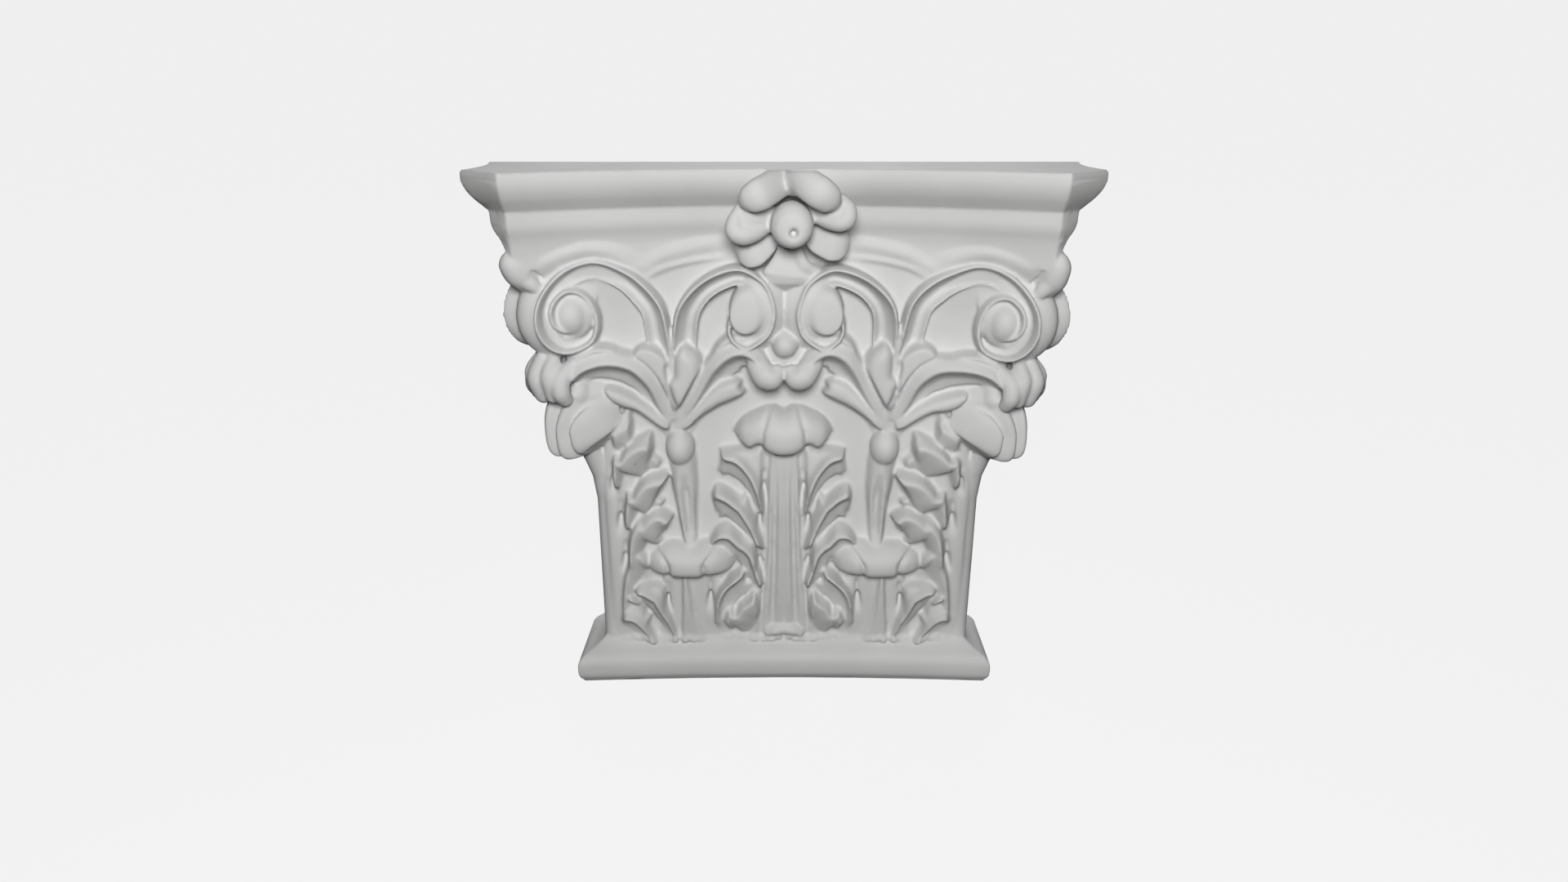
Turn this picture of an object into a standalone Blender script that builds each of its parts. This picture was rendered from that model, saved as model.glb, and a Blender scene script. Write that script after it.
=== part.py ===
"""Pilaster capital with acanthus leaves, corner volutes, inner helices and a fleuron.

The real thing is one solid plaster cast, flat at the back where it met the wall,
and flat on top and underneath. Sizes are in millimetres: x runs across, p is the
distance out from the wall plane, z is the height above the underside. The carving
is worked out for the left half and mirrored, and the right half then gets the small
shifts of hand work. Closed forms are laid over each other, fused into one skin by a
voxel remesh, and cut flat on the three bearing faces.
"""
from math import cos, pi, radians, sin

import bmesh
import bpy
import numpy as np

# Driving dimensions, millimetres
HEIGHT = 320.0
BASE_HEIGHT = 24.0
ABACUS_HEIGHT = 37.0
ABACUS_HALF_WIDTH = 174.5
ABACUS_WALL_HALF_WIDTH = 177.5
ABACUS_DEPTH = 96.0
ABACUS_HOLLOW = 36.0
ABACUS_SIDE_HOLLOW = 4.5
ABACUS_STEP = 18.0
ARRIS_HALF_WIDTH = 147.5
NECK_HALF_WIDTH = 114.5
NECK_DEPTH = 38.0
NECK_HOLLOW = 4.0
BASE_SIDE_PROJECTION = 17.0
BASE_FRONT_PROJECTION = 15.5

# Size of the drawing that gives the carving's places; it is stretched to the block
DRAWN_HEIGHT = 320.0
DRAWN_BASE = 24.0
DRAWN_ABACUS = 37.0
DRAWN_NECK = 114.5
DRAWN_HALF_WIDTH = 174.5
DRAWN_NECK_DEPTH = 38.0
DRAWN_DEPTH = 96.0

# How deep forms sink into each other, and how fine and how soft the fused skin is
MM = 0.001
SINK = 8.0
VOXEL = 1.8
SMOOTHING_ROUNDS = 2
SNAP = 0.25
SOFTENING = 1
SIDE_RECESS = 11.0
FACES = 9300
STEP = 1.0

# Moulding of the abacus: share of its height down from the top, share of its step inward
ABACUS_PROFILE = (
    (0.00, 0.07), (0.03, 0.01), (0.07, 0.00), (0.16, 0.01), (0.27, 0.09), (0.38, 0.24),
    (0.47, 0.42), (0.54, 0.57), (0.56, 0.63), (0.60, 0.64), (0.76, 0.66), (0.86, 0.72),
    (0.93, 0.80), (1.00, 0.87), (1.12, 0.95), (1.28, 1.02), (1.44, 1.06),
)
# Moulding of the base: share of its height up, share of its projection outward
BASE_PROFILE = (
    (0.00, 0.80), (0.05, 0.86), (0.13, 0.94), (0.20, 0.98), (0.32, 1.00),
    (0.44, 1.00), (0.54, 0.98), (0.62, 0.93), (0.69, 0.85), (0.74, 0.76), (0.79, 0.64),
    (0.84, 0.50), (0.90, 0.36), (0.97, 0.22), (1.05, 0.08), (1.14, -0.05), (1.40, -0.15),
)


def along(values, t):
    """Value at t, from 0 to 1, of a list of evenly spaced values."""
    return np.interp(t, np.linspace(0, 1, len(values)), values)


def curve(points, steps=6):
    """Smooth line through the points, with the given steps between each pair."""
    pts = np.asarray(points, float)
    pts = np.vstack((2 * pts[0] - pts[1], pts, 2 * pts[-1] - pts[-2]))
    t = np.linspace(0, 1, steps, endpoint=False)[:, None]
    runs = []
    for a, b, c, d in zip(pts, pts[1:], pts[2:], pts[3:]):
        runs.append(0.5 * (2 * b + (c - a) * t + (2 * a - 5 * b + 4 * c - d) * t ** 2
                           + (3 * b - a - 3 * c + d) * t ** 3))
    return np.vstack(runs + [pts[-2:-1]])


def bell_half_width(z):
    return np.interp(z, (0, 130, 150, 200, 240, 262, 283, 300),
                     (114.5, 114.5, 116.5, 121, 125, 134, 150, 152))


def bell_depth(x, z):
    middle = np.interp(z, (0, 26, 150, 240, 283, 310), (38, 38, 40, 43, 44, 44))
    hollow = np.interp(z, (0, 120, 170, 240, 266, 283, 310), (4, 4, 10, 19, 30, 35, 36))
    return middle + hollow * (x / 149.0) ** 2


# Sheets that the scrolls lie on, and the ribbon of the scrolls
SHEET_DEPTH = 54.0
SHEET_TURN = 95.0
SHEET_REACH = 47.0
SHEET_RISE = 22.0
STEM_DROP = 11.0
RIM_LIFT = 2.0
RIM_THICKNESS = 2.2


def eased(value, low, high):
    """0 below low, 1 above high, and a smooth step between them."""
    t = np.clip((value - low) / (high - low), 0, 1)
    return t * t * (3 - 2 * t)


def stem_drop(x, z):
    """How far the scrolls' stems lie back where they rise from behind the leaves."""
    return STEM_DROP * (1 - eased(z, 192, 250)) * (1 - eased(np.abs(x), 78, 100))


def volute_depth(x, z):
    """Sheet that the corner scrolls lie on: it sweeps forward to the corner."""
    turned = np.maximum(0.0, (np.abs(x) - SHEET_TURN) / SHEET_REACH)
    return SHEET_DEPTH + SHEET_RISE * turned ** 2 - stem_drop(x, z)


CORNER = 79.0


def turned_to_side(points):
    """Twins on the side of the block of points on its front."""
    points = np.array(points, float)
    return np.stack((-CORNER - points[:, 1], -CORNER - points[:, 0], points[:, 2]), axis=1)


class Forms:
    """Closed shells, collected as points (x, p, z) in millimetres and faces."""

    def __init__(self):
        self.points = []
        self.faces = []
        self.count = 0

    def add(self, points, faces):
        self.points.append(np.asarray(points, float))
        self.faces.extend([tuple(i + self.count for i in face) for face in faces])
        self.count += len(points)

    def loft(self, rings, side=False, both=True):
        """Closed shell over rings of points, on the left and mirrored to the right."""
        rings = np.asarray(rings, float)
        rows, size = rings.shape[:2]
        faces = []
        for i in range(rows - 1):
            for j in range(size):
                k = (j + 1) % size
                faces.append((i * size + j, i * size + k, (i + 1) * size + k, (i + 1) * size + j))
        faces.append(tuple(range(size - 1, -1, -1)))
        faces.append(tuple((rows - 1) * size + j for j in range(size)))
        points = rings.reshape(-1, 3)
        versions = [points]
        if side:
            versions.append(turned_to_side(points))
        for version in versions:
            self.add(version, faces)
            if both:
                self.add(version * (-1, 1, 1), [face[::-1] for face in faces])

    def ball(self, centre, radii, side=False, both=True, sides=24):
        """Ellipsoid."""
        rings = []
        for row in range(1, sides // 2):
            polar = pi * row / (sides // 2)
            ring = []
            for col in range(sides):
                turn = 2 * pi * col / sides
                a = radii[0] * sin(polar) * cos(turn)
                p = radii[1] * sin(polar) * sin(turn)
                b = radii[2] * cos(polar)
                ring.append((centre[0] + a, centre[1] + p, centre[2] + b))
            rings.append(ring)
        self.loft(rings, side, both)

    def tube(self, path, radii, side=False, both=True, steps=5, sides=20):
        """Round finger along a path (x, p, z), with rounded ends."""
        line = curve(path, steps)
        run = np.gradient(line, axis=0)
        run /= np.linalg.norm(run, axis=1)[:, None]
        wide = np.cross(run, (0.0, 1.0, 0.0))
        wide /= np.linalg.norm(wide, axis=1)[:, None]
        thick = np.cross(wide, run)
        turn = np.linspace(0, 2 * pi, sides, endpoint=False)
        rings = []
        last = len(line) - 1
        ends = ((0.97, 0.25), (0.87, 0.5), (0.6, 0.8), (0.3, 0.95))
        spots = [(0, -a, s) for a, s in ends] + [(i, 0.0, 1.0) for i in range(last + 1)]
        spots += [(last, a, s) for a, s in ends[::-1]]
        for i, ahead, share in spots:
            radius = along(radii, i / last)
            centre = line[i] + run[i] * ahead * radius
            rings.append(centre + radius * share * (np.outer(np.cos(turn), wide[i])
                                                    + np.outer(np.sin(turn), thick[i])))
        self.loft(rings, side, both)

    def band(self, path, half_widths, heights, section, ground, side=False, both=True, steps=6):
        """Raised band along a path (x, z) in the front view, standing on the ground."""
        line = curve(path, steps)
        t = np.linspace(0, 1, len(line))
        run = np.gradient(line, axis=0)
        run /= np.linalg.norm(run, axis=1)[:, None]
        across = np.stack((-run[:, 1], run[:, 0]), axis=1)
        s = np.linspace(-1, 1, 17)
        rings = []
        for i, here in enumerate(line):
            wide = along(half_widths, t[i])
            flat = here + np.outer(s * wide, across[i])
            top = ground(flat[:, 0], flat[:, 1]) + along(heights, t[i]) * section(s)
            front = np.stack((flat[:, 0], top, flat[:, 1]), axis=1)
            deep = ground(here[0], here[1]) - SINK
            back = [(flat[-1, 0], deep, flat[-1, 1]), (flat[0, 0], deep, flat[0, 1])]
            rings.append(np.vstack((front, back)))
        self.loft(rings, side, both)


def dome(s):
    return np.sqrt(np.clip(1 - s * s, 0, 1))


def soft(s):
    """Section of a soft ridge."""
    return np.clip(1 - s * s, 0, 1) ** 2


def ribbon(gap, width):
    """Cove across a ribbon: gap is the distance from its outer edge, where a strong rim stands."""
    width = max(width, 7.0)
    rim = RIM_THICKNESS
    places = (0, 0.5, rim, rim + 0.9, rim + 2.2, 0.72 * width, width - 0.9, width - 0.3, width)
    return np.interp(gap, places, (0.85, 1.0, 1.0, 0.62, 0.32, 0.44, 0.58, 0.55, 0.42))


def shield(s):
    """Section of a broad, slightly rounded leaf."""
    return 0.8 + 0.2 * dome(s)


def plate(s):
    """Flat band with rounded edges."""
    return np.clip((1 - np.abs(s)) * 3, 0, 1) ** 0.5


# How a folded leaf runs from its crest down to its gutter, and over its back
UNDER_FOLD = ((0.0, 0.10, 0.22, 0.36, 0.55, 0.8, 0.94, 1.0),
              (1.0, 0.95, 0.76, 0.52, 0.36, 0.28, 0.24, 0.10))
OVER_FOLD = ((0.0, 0.10, 0.3, 0.7, 1.0), (1.0, 0.97, 0.86, 0.72, 0.55))

# How a lobe's face runs from its high edge, 0, to its low edge, 1
TILE = ((0.0, 0.10, 0.4, 0.75, 1.0), (1.0, 0.98, 0.80, 0.46, 0.22))
HOLLOW = ((0.0, 0.12, 0.25, 0.31, 0.42, 0.58, 0.85, 1.0),
          (0.50, 0.78, 1.0, 0.96, 0.52, 0.36, 0.36, 0.30))


def lean(z):
    """Share of their full height that the leaves have at a height: they lean out upward."""
    return np.interp(z, (20, 40, 80, 140), (0.35, 0.62, 0.9, 1.0))


class Carving:
    """Relief as heights over a surface, given by the places across and up of its points."""

    def __init__(self, across, up):
        self.across = across
        self.up = up
        self.height = np.zeros_like(across)

    def soften(self, rounds):
        """Blur the relief a little, as a cast does."""
        for _ in range(rounds):
            for axis in (0, 1):
                padded = np.pad(self.height, [(1, 1) if a == axis else (0, 0) for a in (0, 1)],
                                mode='edge')
                low = np.take(padded, range(0, self.height.shape[axis]), axis=axis)
                high = np.take(padded, range(2, self.height.shape[axis] + 2), axis=axis)
                self.height = 0.5 * self.height + 0.25 * (low + high)

    def near(self, line, reach):
        low = line.min(axis=0) - reach
        high = line.max(axis=0) + reach
        return ((self.across > low[0]) & (self.across < high[0])
                & (self.up > low[1]) & (self.up < high[1]))

    def nearest(self, line, near):
        """Distance to the line, share along it, and side of it."""
        a, b = self.across[near], self.up[near]
        best = np.full(a.shape, 1e9)
        place = np.zeros_like(a)
        hand = np.ones_like(a)
        for i, (start, end) in enumerate(zip(line, line[1:])):
            da, db = end - start
            k = np.clip(((a - start[0]) * da + (b - start[1]) * db) / (da * da + db * db), 0, 1)
            ea = a - start[0] - k * da
            eb = b - start[1] - k * db
            gap = np.hypot(ea, eb)
            closer = gap < best
            best = np.where(closer, gap, best)
            place = np.where(closer, (i + k) / (len(line) - 1), place)
            hand = np.where(closer, np.sign(da * eb - db * ea), hand)
        return best, place, hand

    def stroke(self, path, half_widths, heights, section):
        """Band along a path."""
        line = curve(path, 8)
        near = self.near(line, max(half_widths))
        gap, place, hand = self.nearest(line, near)
        s = hand * gap / along(half_widths, place)
        new = along(heights, place) * section(np.clip(s, -1, 1))
        self.height[near] = np.where(np.abs(s) < 1, new, self.height[near])

    def fold(self, crest, below, above, heights, hand):
        """Leaf folded over a crest: steep down to a gutter on one hand, gentle on the other."""
        line = curve(crest, 8)
        near = self.near(line, max(max(below), max(above)))
        gap, place, side = self.nearest(line, near)
        under = side * hand > 0
        t = gap / np.where(under, along(below, place), along(above, place))
        share = np.where(under, np.interp(t, *UNDER_FOLD), np.interp(t, *OVER_FOLD))
        new = along(heights, place) * share
        self.height[near] = np.where(t < 1, new, self.height[near])

    def ridge(self, path, half_width, height):
        """Soft ridge added to what is there, or a groove where the height is negative."""
        line = curve(path, 8)
        near = self.near(line, half_width)
        gap, place, hand = self.nearest(line, near)
        fade = np.clip(np.minimum(place, 1 - place) * 6, 0, 1)
        self.height[near] += height * fade * soft(np.clip(gap / half_width, 0, 1))

    def eye(self, x, z, length=9.0, half_width=2.4, depth=6.0):
        """Teardrop pocket whose floor slopes back and up, with a slit above it."""
        line = np.array(((x, z - length * 0.55), (x, z + length * 0.45)))
        near = self.near(line, half_width + 1)
        gap, place, hand = self.nearest(line, near)
        wide = half_width * np.interp(place, (0, 0.5, 1), (0.7, 1.0, 0.5))
        floor = depth * np.interp(place, (0, 0.85, 1), (0.15, 1.0, 0.8))
        self.height[near] -= floor * np.clip((1 - (gap / wide) ** 2) * 2.5, 0, 1)
        top = z + length * 0.45
        self.ridge(((x, top - 2), (x + 0.3, top + 6), (x + 1.0, top + 13)), 1.3, -3.0)

    def inside(self, rim, near):
        """Which of the near places lie inside a closed outline."""
        a, b = self.across[near], self.up[near]
        inside = np.zeros(a.shape, bool)
        for (x0, z0), (x1, z1) in zip(rim, np.roll(rim, -1, axis=0)):
            spans = (z0 > b) != (z1 > b)
            cross_x = x0 + (b - z0) * (x1 - x0) / (z1 - z0 + 1e-12)
            inside ^= spans & (a < cross_x)
        return inside

    def blade(self, outline, height, rounding, slope=(0.0, 0.0)):
        """Blade with a rounded edge inside a closed outline; slope tips it across and upward."""
        rim = curve(outline + outline[:1], 5)[:-1]
        near = self.near(rim, 0.5)
        inside = self.inside(rim, near)
        edge = self.nearest(np.vstack((rim, rim[:1])), near)[0]
        middle = rim.mean(axis=0)
        tip = slope[0] * (self.across[near] - middle[0]) + slope[1] * (self.up[near] - middle[1])
        swell = 1 - np.clip(1 - edge / rounding, 0, 1) ** 2
        new = (height + tip) * (0.35 + 0.65 * np.sqrt(swell)) * lean(self.up[near])
        self.height[near] = np.where(inside, new, self.height[near])

    def lobe(self, outline, high, low, height, face):
        """Lobe of a leaf: a plate inside an outline, tipped down from its high edge to its low one."""
        rim = curve(outline + outline[:1], 5)[:-1]
        near = self.near(rim, 0.5)
        a, b = self.across[near], self.up[near]
        inside = self.inside(rim, near)
        edge = self.nearest(np.vstack((rim, rim[:1])), near)[0]
        fall = np.subtract(low, high)
        if face is HOLLOW:
            upper = rim[((rim - np.add(high, low) / 2) @ fall) < 0]
            upper = upper[np.argsort(upper[:, 0])]
            share = self.nearest(upper, near)[0] / np.hypot(*fall)
        else:
            share = ((a - high[0]) * fall[0] + (b - high[1]) * fall[1]) / (fall @ fall)
        bevel = 0.45 + 0.55 * np.clip(edge / LOBE_BEVEL, 0, 1) ** 0.7
        groove = np.clip(1 - np.abs(edge - LOBE_BEVEL - 1.4) / 0.9, 0, 1) * (share < 0.3)
        new = height * lean(b) * np.interp(share, *face) * bevel
        if face is TILE:
            new -= 0.8 * groove
        self.height[near] = np.where(inside, new, self.height[near])


# Outline of each lobe, then the places of its high edge and its low edge
CORNER_LEAF_LOBES = (
    ([(-103, 159), (-102.8, 176), (-91.7, 181), (-90.6, 172), (-91.4, 160), (-97, 159)],
     (-97, 179), (-94, 160)),
    ([(-104, 134), (-102.5, 147), (-101, 153), (-98, 151), (-92.5, 157.5), (-81.2, 164.5), (-79.4, 152),
      (-75.4, 146), (-81, 139), (-90, 130), (-99, 122)], (-93, 159), (-85, 133)),
    ([(-103, 104), (-100, 117), (-95.5, 127), (-91.5, 125), (-84.3, 133.5), (-71, 139.5), (-77, 126),
      (-75, 119.5), (-82, 115), (-91, 108), (-99, 98)], (-86, 134), (-78, 110)),
    ([(-101, 76), (-96, 95.5), (-92, 106), (-87, 106.3), (-83.2, 112.3), (-75, 115), (-70.6, 110.5),
      (-73, 103.5), (-76.7, 101.5), (-75, 92), (-80, 80), (-92, 70)], (-83, 113), (-76, 88)),
    ([(-103, 46), (-101, 66), (-97, 84), (-90, 88), (-84, 80), (-86, 64), (-92, 50)],
     (-99, 84), (-86, 62)),
)
MIDDLE_LEAF_LOBES = (
    ([(-37.8, 154.5), (-26, 155), (-18.5, 153.5), (-13.5, 156), (-14, 140), (-14.5, 116), (-29.3, 129),
      (-36.6, 134), (-39.6, 140.6), (-39.4, 149)], (-26, 156), (-31, 130)),
    ([(-43.4, 126), (-40.6, 130), (-31.5, 128.5), (-23.1, 123), (-15.5, 126.5), (-13.5, 108),
      (-13.5, 90), (-23.3, 96), (-30, 102), (-40.3, 108), (-44.6, 117)], (-31, 130), (-35, 102)),
    ([(-46.3, 96), (-38.4, 102), (-29.8, 100.5), (-21.2, 95.5), (-15.5, 99), (-13.5, 80), (-13.5, 62),
      (-24, 70), (-36, 80), (-46, 87)], (-31, 102), (-36, 76)),
)
LOWER_LEAF_OUTER_LOBES = (
    ([(-94, 62), (-90.6, 67), (-84, 64.8), (-75.3, 66), (-74, 58), (-71, 46), (-63, 26), (-74, 28),
      (-83.5, 41), (-88.4, 51.5), (-94.3, 56.5)], (-82, 68), (-86, 42)),
    ([(-102.3, 41.4), (-98.4, 51.5), (-91.6, 49), (-85.3, 43), (-83, 34), (-75, 18), (-87, 16),
      (-94, 29), (-101.5, 33.5)], (-93, 52), (-95, 27)),
)
LOWER_LEAF_INNER_LOBES = (
    ([(-50, 50), (-46, 61.5), (-38, 69), (-30.2, 74), (-25.6, 65), (-21, 66.2), (-19.8, 59.7),
      (-25.5, 52.5), (-33, 42), (-42, 26), (-51, 28)], (-44, 66), (-28, 44)),
    ([(-37, 40), (-31, 47.5), (-21.7, 59.7), (-17.8, 52.5), (-16.6, 40), (-12, 37.5), (-18, 22),
      (-30, 16), (-37, 27)], (-30, 52), (-18, 24)),
)
CORNER_LOBE_HEIGHT = 14.5
MIDDLE_LOBE_HEIGHT = 16.0
LOWER_LOBE_HEIGHT = 17.0
LOBE_BEVEL = 1.8
LEAF_EYES = ((-12.5, 125), (-13.8, 101), (-14.0, 74), (-103.5, 129), (-100.5, 103), (-101.0, 76),
             (-72.5, 43), (-45.5, 48))


CORNER_LEAF_BODY = [(-113, 16), (-113, 120), (-108, 160), (-99, 174), (-94, 160), (-90, 128), (-88, 90),
                    (-90, 50), (-94, 16)]
LOWER_LEAF_BODY = [(-80, 16), (-77, 50), (-73, 74), (-42, 74), (-38, 50), (-35, 16)]
LEAF_BODY_HEIGHT = 5.5


def carve_corner_leaf(carving):
    """Half of the corner leaf, with the groove beside its midrib."""
    carving.ridge(((-113, 150), (-112.5, 137), (-111.5, 116), (-110.5, 92), (-110.5, 60),
                   (-110, 22)), 1.6, -1.8)
    carving.blade(CORNER_LEAF_BODY, LEAF_BODY_HEIGHT, 6.0)
    for outline, high, low in CORNER_LEAF_LOBES:
        carving.lobe(outline, high, low, CORNER_LOBE_HEIGHT, TILE)


def carve_leaves(carving):
    """Paint the ranks of leaves and the fluted stalks on one face."""
    carve_corner_leaf(carving)
    carving.stroke(((0, 14), (0, 50), (0, 90), (0, 156)), (24, 23, 22, 22), (4, 5.5, 6, 6.5), plate)
    for outline, high, low in MIDDLE_LEAF_LOBES:
        carving.lobe(outline, high, low, MIDDLE_LOBE_HEIGHT, HOLLOW)
    carving.stroke(((0, 14), (0, 50), (0, 90), (0, 156)), (18, 16, 13.5, 11), (2.0, 5.5, 8, 9.5), plate)
    for x, height in ((-2.2, 1.0), (2.2, 1.0), (-5.2, -1.6), (5.2, -1.6), (-8.4, 0.6), (8.4, 0.6)):
        carving.ridge(((x * 1.5, 20), (x * 1.1, 80), (x * 0.9, 154)), 2.0, height)
    carving.blade(LOWER_LEAF_BODY, LEAF_BODY_HEIGHT, 5.0)
    for outline, high, low in LOWER_LEAF_OUTER_LOBES:
        carving.lobe(outline, high, low, LOWER_LOBE_HEIGHT, HOLLOW)
    for outline, high, low in LOWER_LEAF_INNER_LOBES:
        carving.lobe(outline, high, low, LOWER_LOBE_HEIGHT, TILE)
    carving.stroke(((-55.5, 14), (-57, 34), (-58, 56), (-58.5, 78)), (15, 9, 4.5, 3.0),
                   (3, 6.5, 9.5, 11), plate)
    carving.ridge(((-66, 20), (-61.5, 42), (-59.8, 74)), 1.4, 1.4)
    carving.ridge(((-46, 20), (-53.5, 42), (-57.2, 74)), 1.4, 1.4)
    carving.stroke(((-58.3, 88), (-59.9, 110), (-61, 130), (-61.6, 148)), (3.8, 5.5, 7.8, 8.0),
                   (9, 10.5, 11, 10), dome)
    carving.ridge(((-60.6, 140), (-59.4, 114), (-57.8, 88)), 3.2, -7)
    for x, z in LEAF_EYES:
        carving.eye(x, z)


def carve_bell(carving):
    """Arched ridges of the bell's lip above the volutes and from there to the flower."""
    carving.ridge(((-146, 258), (-138, 266), (-124, 272.5), (-109, 276), (-95, 273.5), (-84, 267),
                   (-74, 259)), 5.0, 3.6)
    carving.ridge(((-86, 261), (-71, 270), (-58, 274), (-44, 277), (-26, 279)), 4.5, 2.6)
    carving.ridge(((-81, 257), (-71.6, 263), (-60.3, 266.5), (-46.5, 269), (-26, 270.5)), 2.6, 2.6)


def add_bell(forms, step=STEP):
    """Bell with its low carving: one block for the front, one for each side."""
    z = np.arange(14.0, 300.0, step)
    half = bell_half_width(z)[:, None]
    u = np.linspace(-1, 0, int(120 / step))[None, :]
    x = u * half
    up = np.broadcast_to(z[:, None], x.shape)
    front = Carving(x, up.copy())
    carve_leaves(front)
    carve_caulicoles(front)
    carve_bell(front)
    front.soften(SOFTENING)
    left = np.stack((x, bell_depth(x, up) + front.height, up), axis=2)
    right = left[:, -2::-1] * (-1, 1, 1)
    pair = np.repeat(z[:, None], 2, axis=1)
    back = np.stack((np.hstack((half, -half)), np.full_like(pair, -SINK), pair), axis=2)
    forms.loft(np.concatenate((left, right, back), axis=1), both=False)

    corner = bell_depth(half, z[:, None])
    inward = np.linspace(1, 0, int(50 / step))[None, :] * (corner + SINK)
    side = Carving(inward - half, np.broadcast_to(z[:, None], inward.shape).copy())
    carve_corner_leaf(side)
    carve_caulicoles(side)
    side.soften(SOFTENING)
    recess = SIDE_RECESS * np.interp(side.up, (120, 165), (1, 0))
    face = np.stack((-(half - recess + 0.85 * side.height), corner - inward, side.up), axis=2)
    middle = np.hstack((np.full_like(corner, 20.0), np.full_like(corner, -SINK)))
    core = np.stack((np.zeros_like(pair), middle, pair), axis=2)
    forms.loft(np.concatenate((face, core), axis=1))


def add_corner_rib(forms):
    """Plain midrib of the corner leaf, down the arris of the bell."""
    rings = []
    turn = np.linspace(0, 2 * pi, 18, endpoint=False)
    for z in (14, 40, 80, 120, 136, 148, 158, 168):
        lean_out = max(0.0, (z - 120) / 48.0) ** 2 * 10.0
        x = -(float(bell_half_width(z)) - 5.0) - lean_out
        p = float(bell_depth(x, z)) - 3.5 + lean_out
        rings.append(np.stack((x + 6.5 * np.cos(turn), p + 6.5 * np.sin(turn),
                               np.full(18, float(z))), axis=1))
    forms.loft(rings)


def across_tip(values, u):
    """Smooth value at u, from -1 to 1, of evenly spaced values."""
    line = curve(list(enumerate(values)), 8)
    return float(np.interp((u + 1) / 2 * (len(values) - 1), line[:, 0], line[:, 1]))


def curled_tip(forms, foot, turn, half_width, lips, tops, reaches, creases, step, tuck, both=True):
    """Leaf tip that rolls forward and down; the creases run from its top over its front to its lip."""
    c, s = cos(radians(turn)), sin(radians(turn))
    angles = np.radians(np.linspace(-25, 180, 34))
    share = np.clip(angles / pi, 0, 1)
    upper = angles < pi / 2
    rings = []
    for u in np.linspace(-1, 1, 121):
        lip = across_tip(lips, u)
        top = max(across_tip(tops, u), lip + 1.0)
        reach = max(across_tip(reaches, u), 0.3)
        front = lip + 0.42 * (top - lip)
        height = np.where(upper, front + (top - front) * np.cos(angles),
                          front - (front - lip) * np.sin(angles - pi / 2))
        out = reach * np.where(upper, np.sin(angles), 1 - tuck * (1 - np.sin(angles)) ** 1.5)
        for crease in creases:
            place = np.interp(share, (0, 0.5, 1), crease)
            beyond = (u - place) * np.sign(crease[1])
            out = out - CREASE_DEPTH * np.exp(-(beyond * half_width / CREASE_WIDTH) ** 2)
            out = out - step * eased(beyond * half_width, 0.0, 2.5)
        spots = list(zip(out, height)) + [(-SINK, lip + 5), (-SINK, top)]
        rings.append([(foot[0] + u * half_width * c - a * s, foot[1] + u * half_width * s + a * c, z)
                      for a, z in spots])
    forms.loft(rings, both=both)


# Tips of the leaves: heights of lip and top and reach forward across the tip, then each
# crease's place at the top, the front and the lip, the step beside it and the tuck below
CREASE_DEPTH = 1.8
CREASE_WIDTH = 0.9
MIDDLE_TIP = ((165, 160.8, 157.4, 159.8, 156.6, 154.1, 153.7, 154.1, 156.6, 159.8, 157.4, 160.8, 165),
              (166, 173, 177, 179.5, 181.5, 182, 179.5, 182, 181.5, 179.5, 177, 173, 166),
              (0, 12, 16.5, 18, 20, 21, 21.5, 21, 20, 18, 16.5, 12, 0),
              ((-0.22, -0.42, -0.42), (0.22, 0.42, 0.42)), 0.8, 0.35)
LOWER_TIP = ((76.5, 74.3, 72.8, 72.2, 71.2, 71.1, 71.1, 71.1, 72.0, 72.6, 73, 75, 79),
             (78, 86, 90.5, 92.7, 93.3, 92.6, 91.6, 92.8, 94, 93.6, 92, 88, 80.5),
             (0, 11, 15.5, 17.5, 18.5, 19, 19, 19, 18.8, 18, 15.5, 11, 0),
             ((-0.9, -0.46, -0.46), (0.8, 0.29, 0.29)), 0.5, 0.5)
CORNER_TIP = ((177, 167, 161.5, 158, 156, 155, 154.5, 155, 156, 158, 161.5, 167, 177),
              (180, 190, 196, 198, 198, 196, 194, 196, 198, 198, 196, 190, 180),
              (0, 10, 16, 20, 22.5, 24, 24.5, 24, 22.5, 20, 16, 10, 0),
              ((-0.55, -0.24, -0.20), (0.55, 0.24, 0.20)), -1.4, 0.25)
OUTER_CURL_FOLDS = (
    (((-122, 62, 209), (-127.5, 67, 203.5), (-128, 68, 196), (-126.5, 65, 191)), (5, 5.5, 5.5, 4.5)),
    (((-132, 62, 214), (-134.5, 67, 205), (-133, 65, 193)), (4, 5.0, 4.5)),
    (((-139, 60, 212), (-142, 63, 203), (-139.5, 60.5, 193)), (5.5, 6, 5.5)),
)


def add_leaf_tips(forms):
    """Curled tips of the middle leaf, the lower leaves and the corner leaves."""
    curled_tip(forms, (0, 41), 0, 31.3, *MIDDLE_TIP, both=False)
    curled_tip(forms, (-58.5, 38), 0, 29.5, *LOWER_TIP)
    curled_tip(forms, (-115.5, 43), 45, 22, *CORNER_TIP)
    for path, radii in OUTER_CURL_FOLDS:
        forms.tube(path, radii, side=True)
    forms.tube(((-120, 44, 214), (-123, 48, 200), (-120, 46, 184)), (9, 11, 10), side=True)


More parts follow.
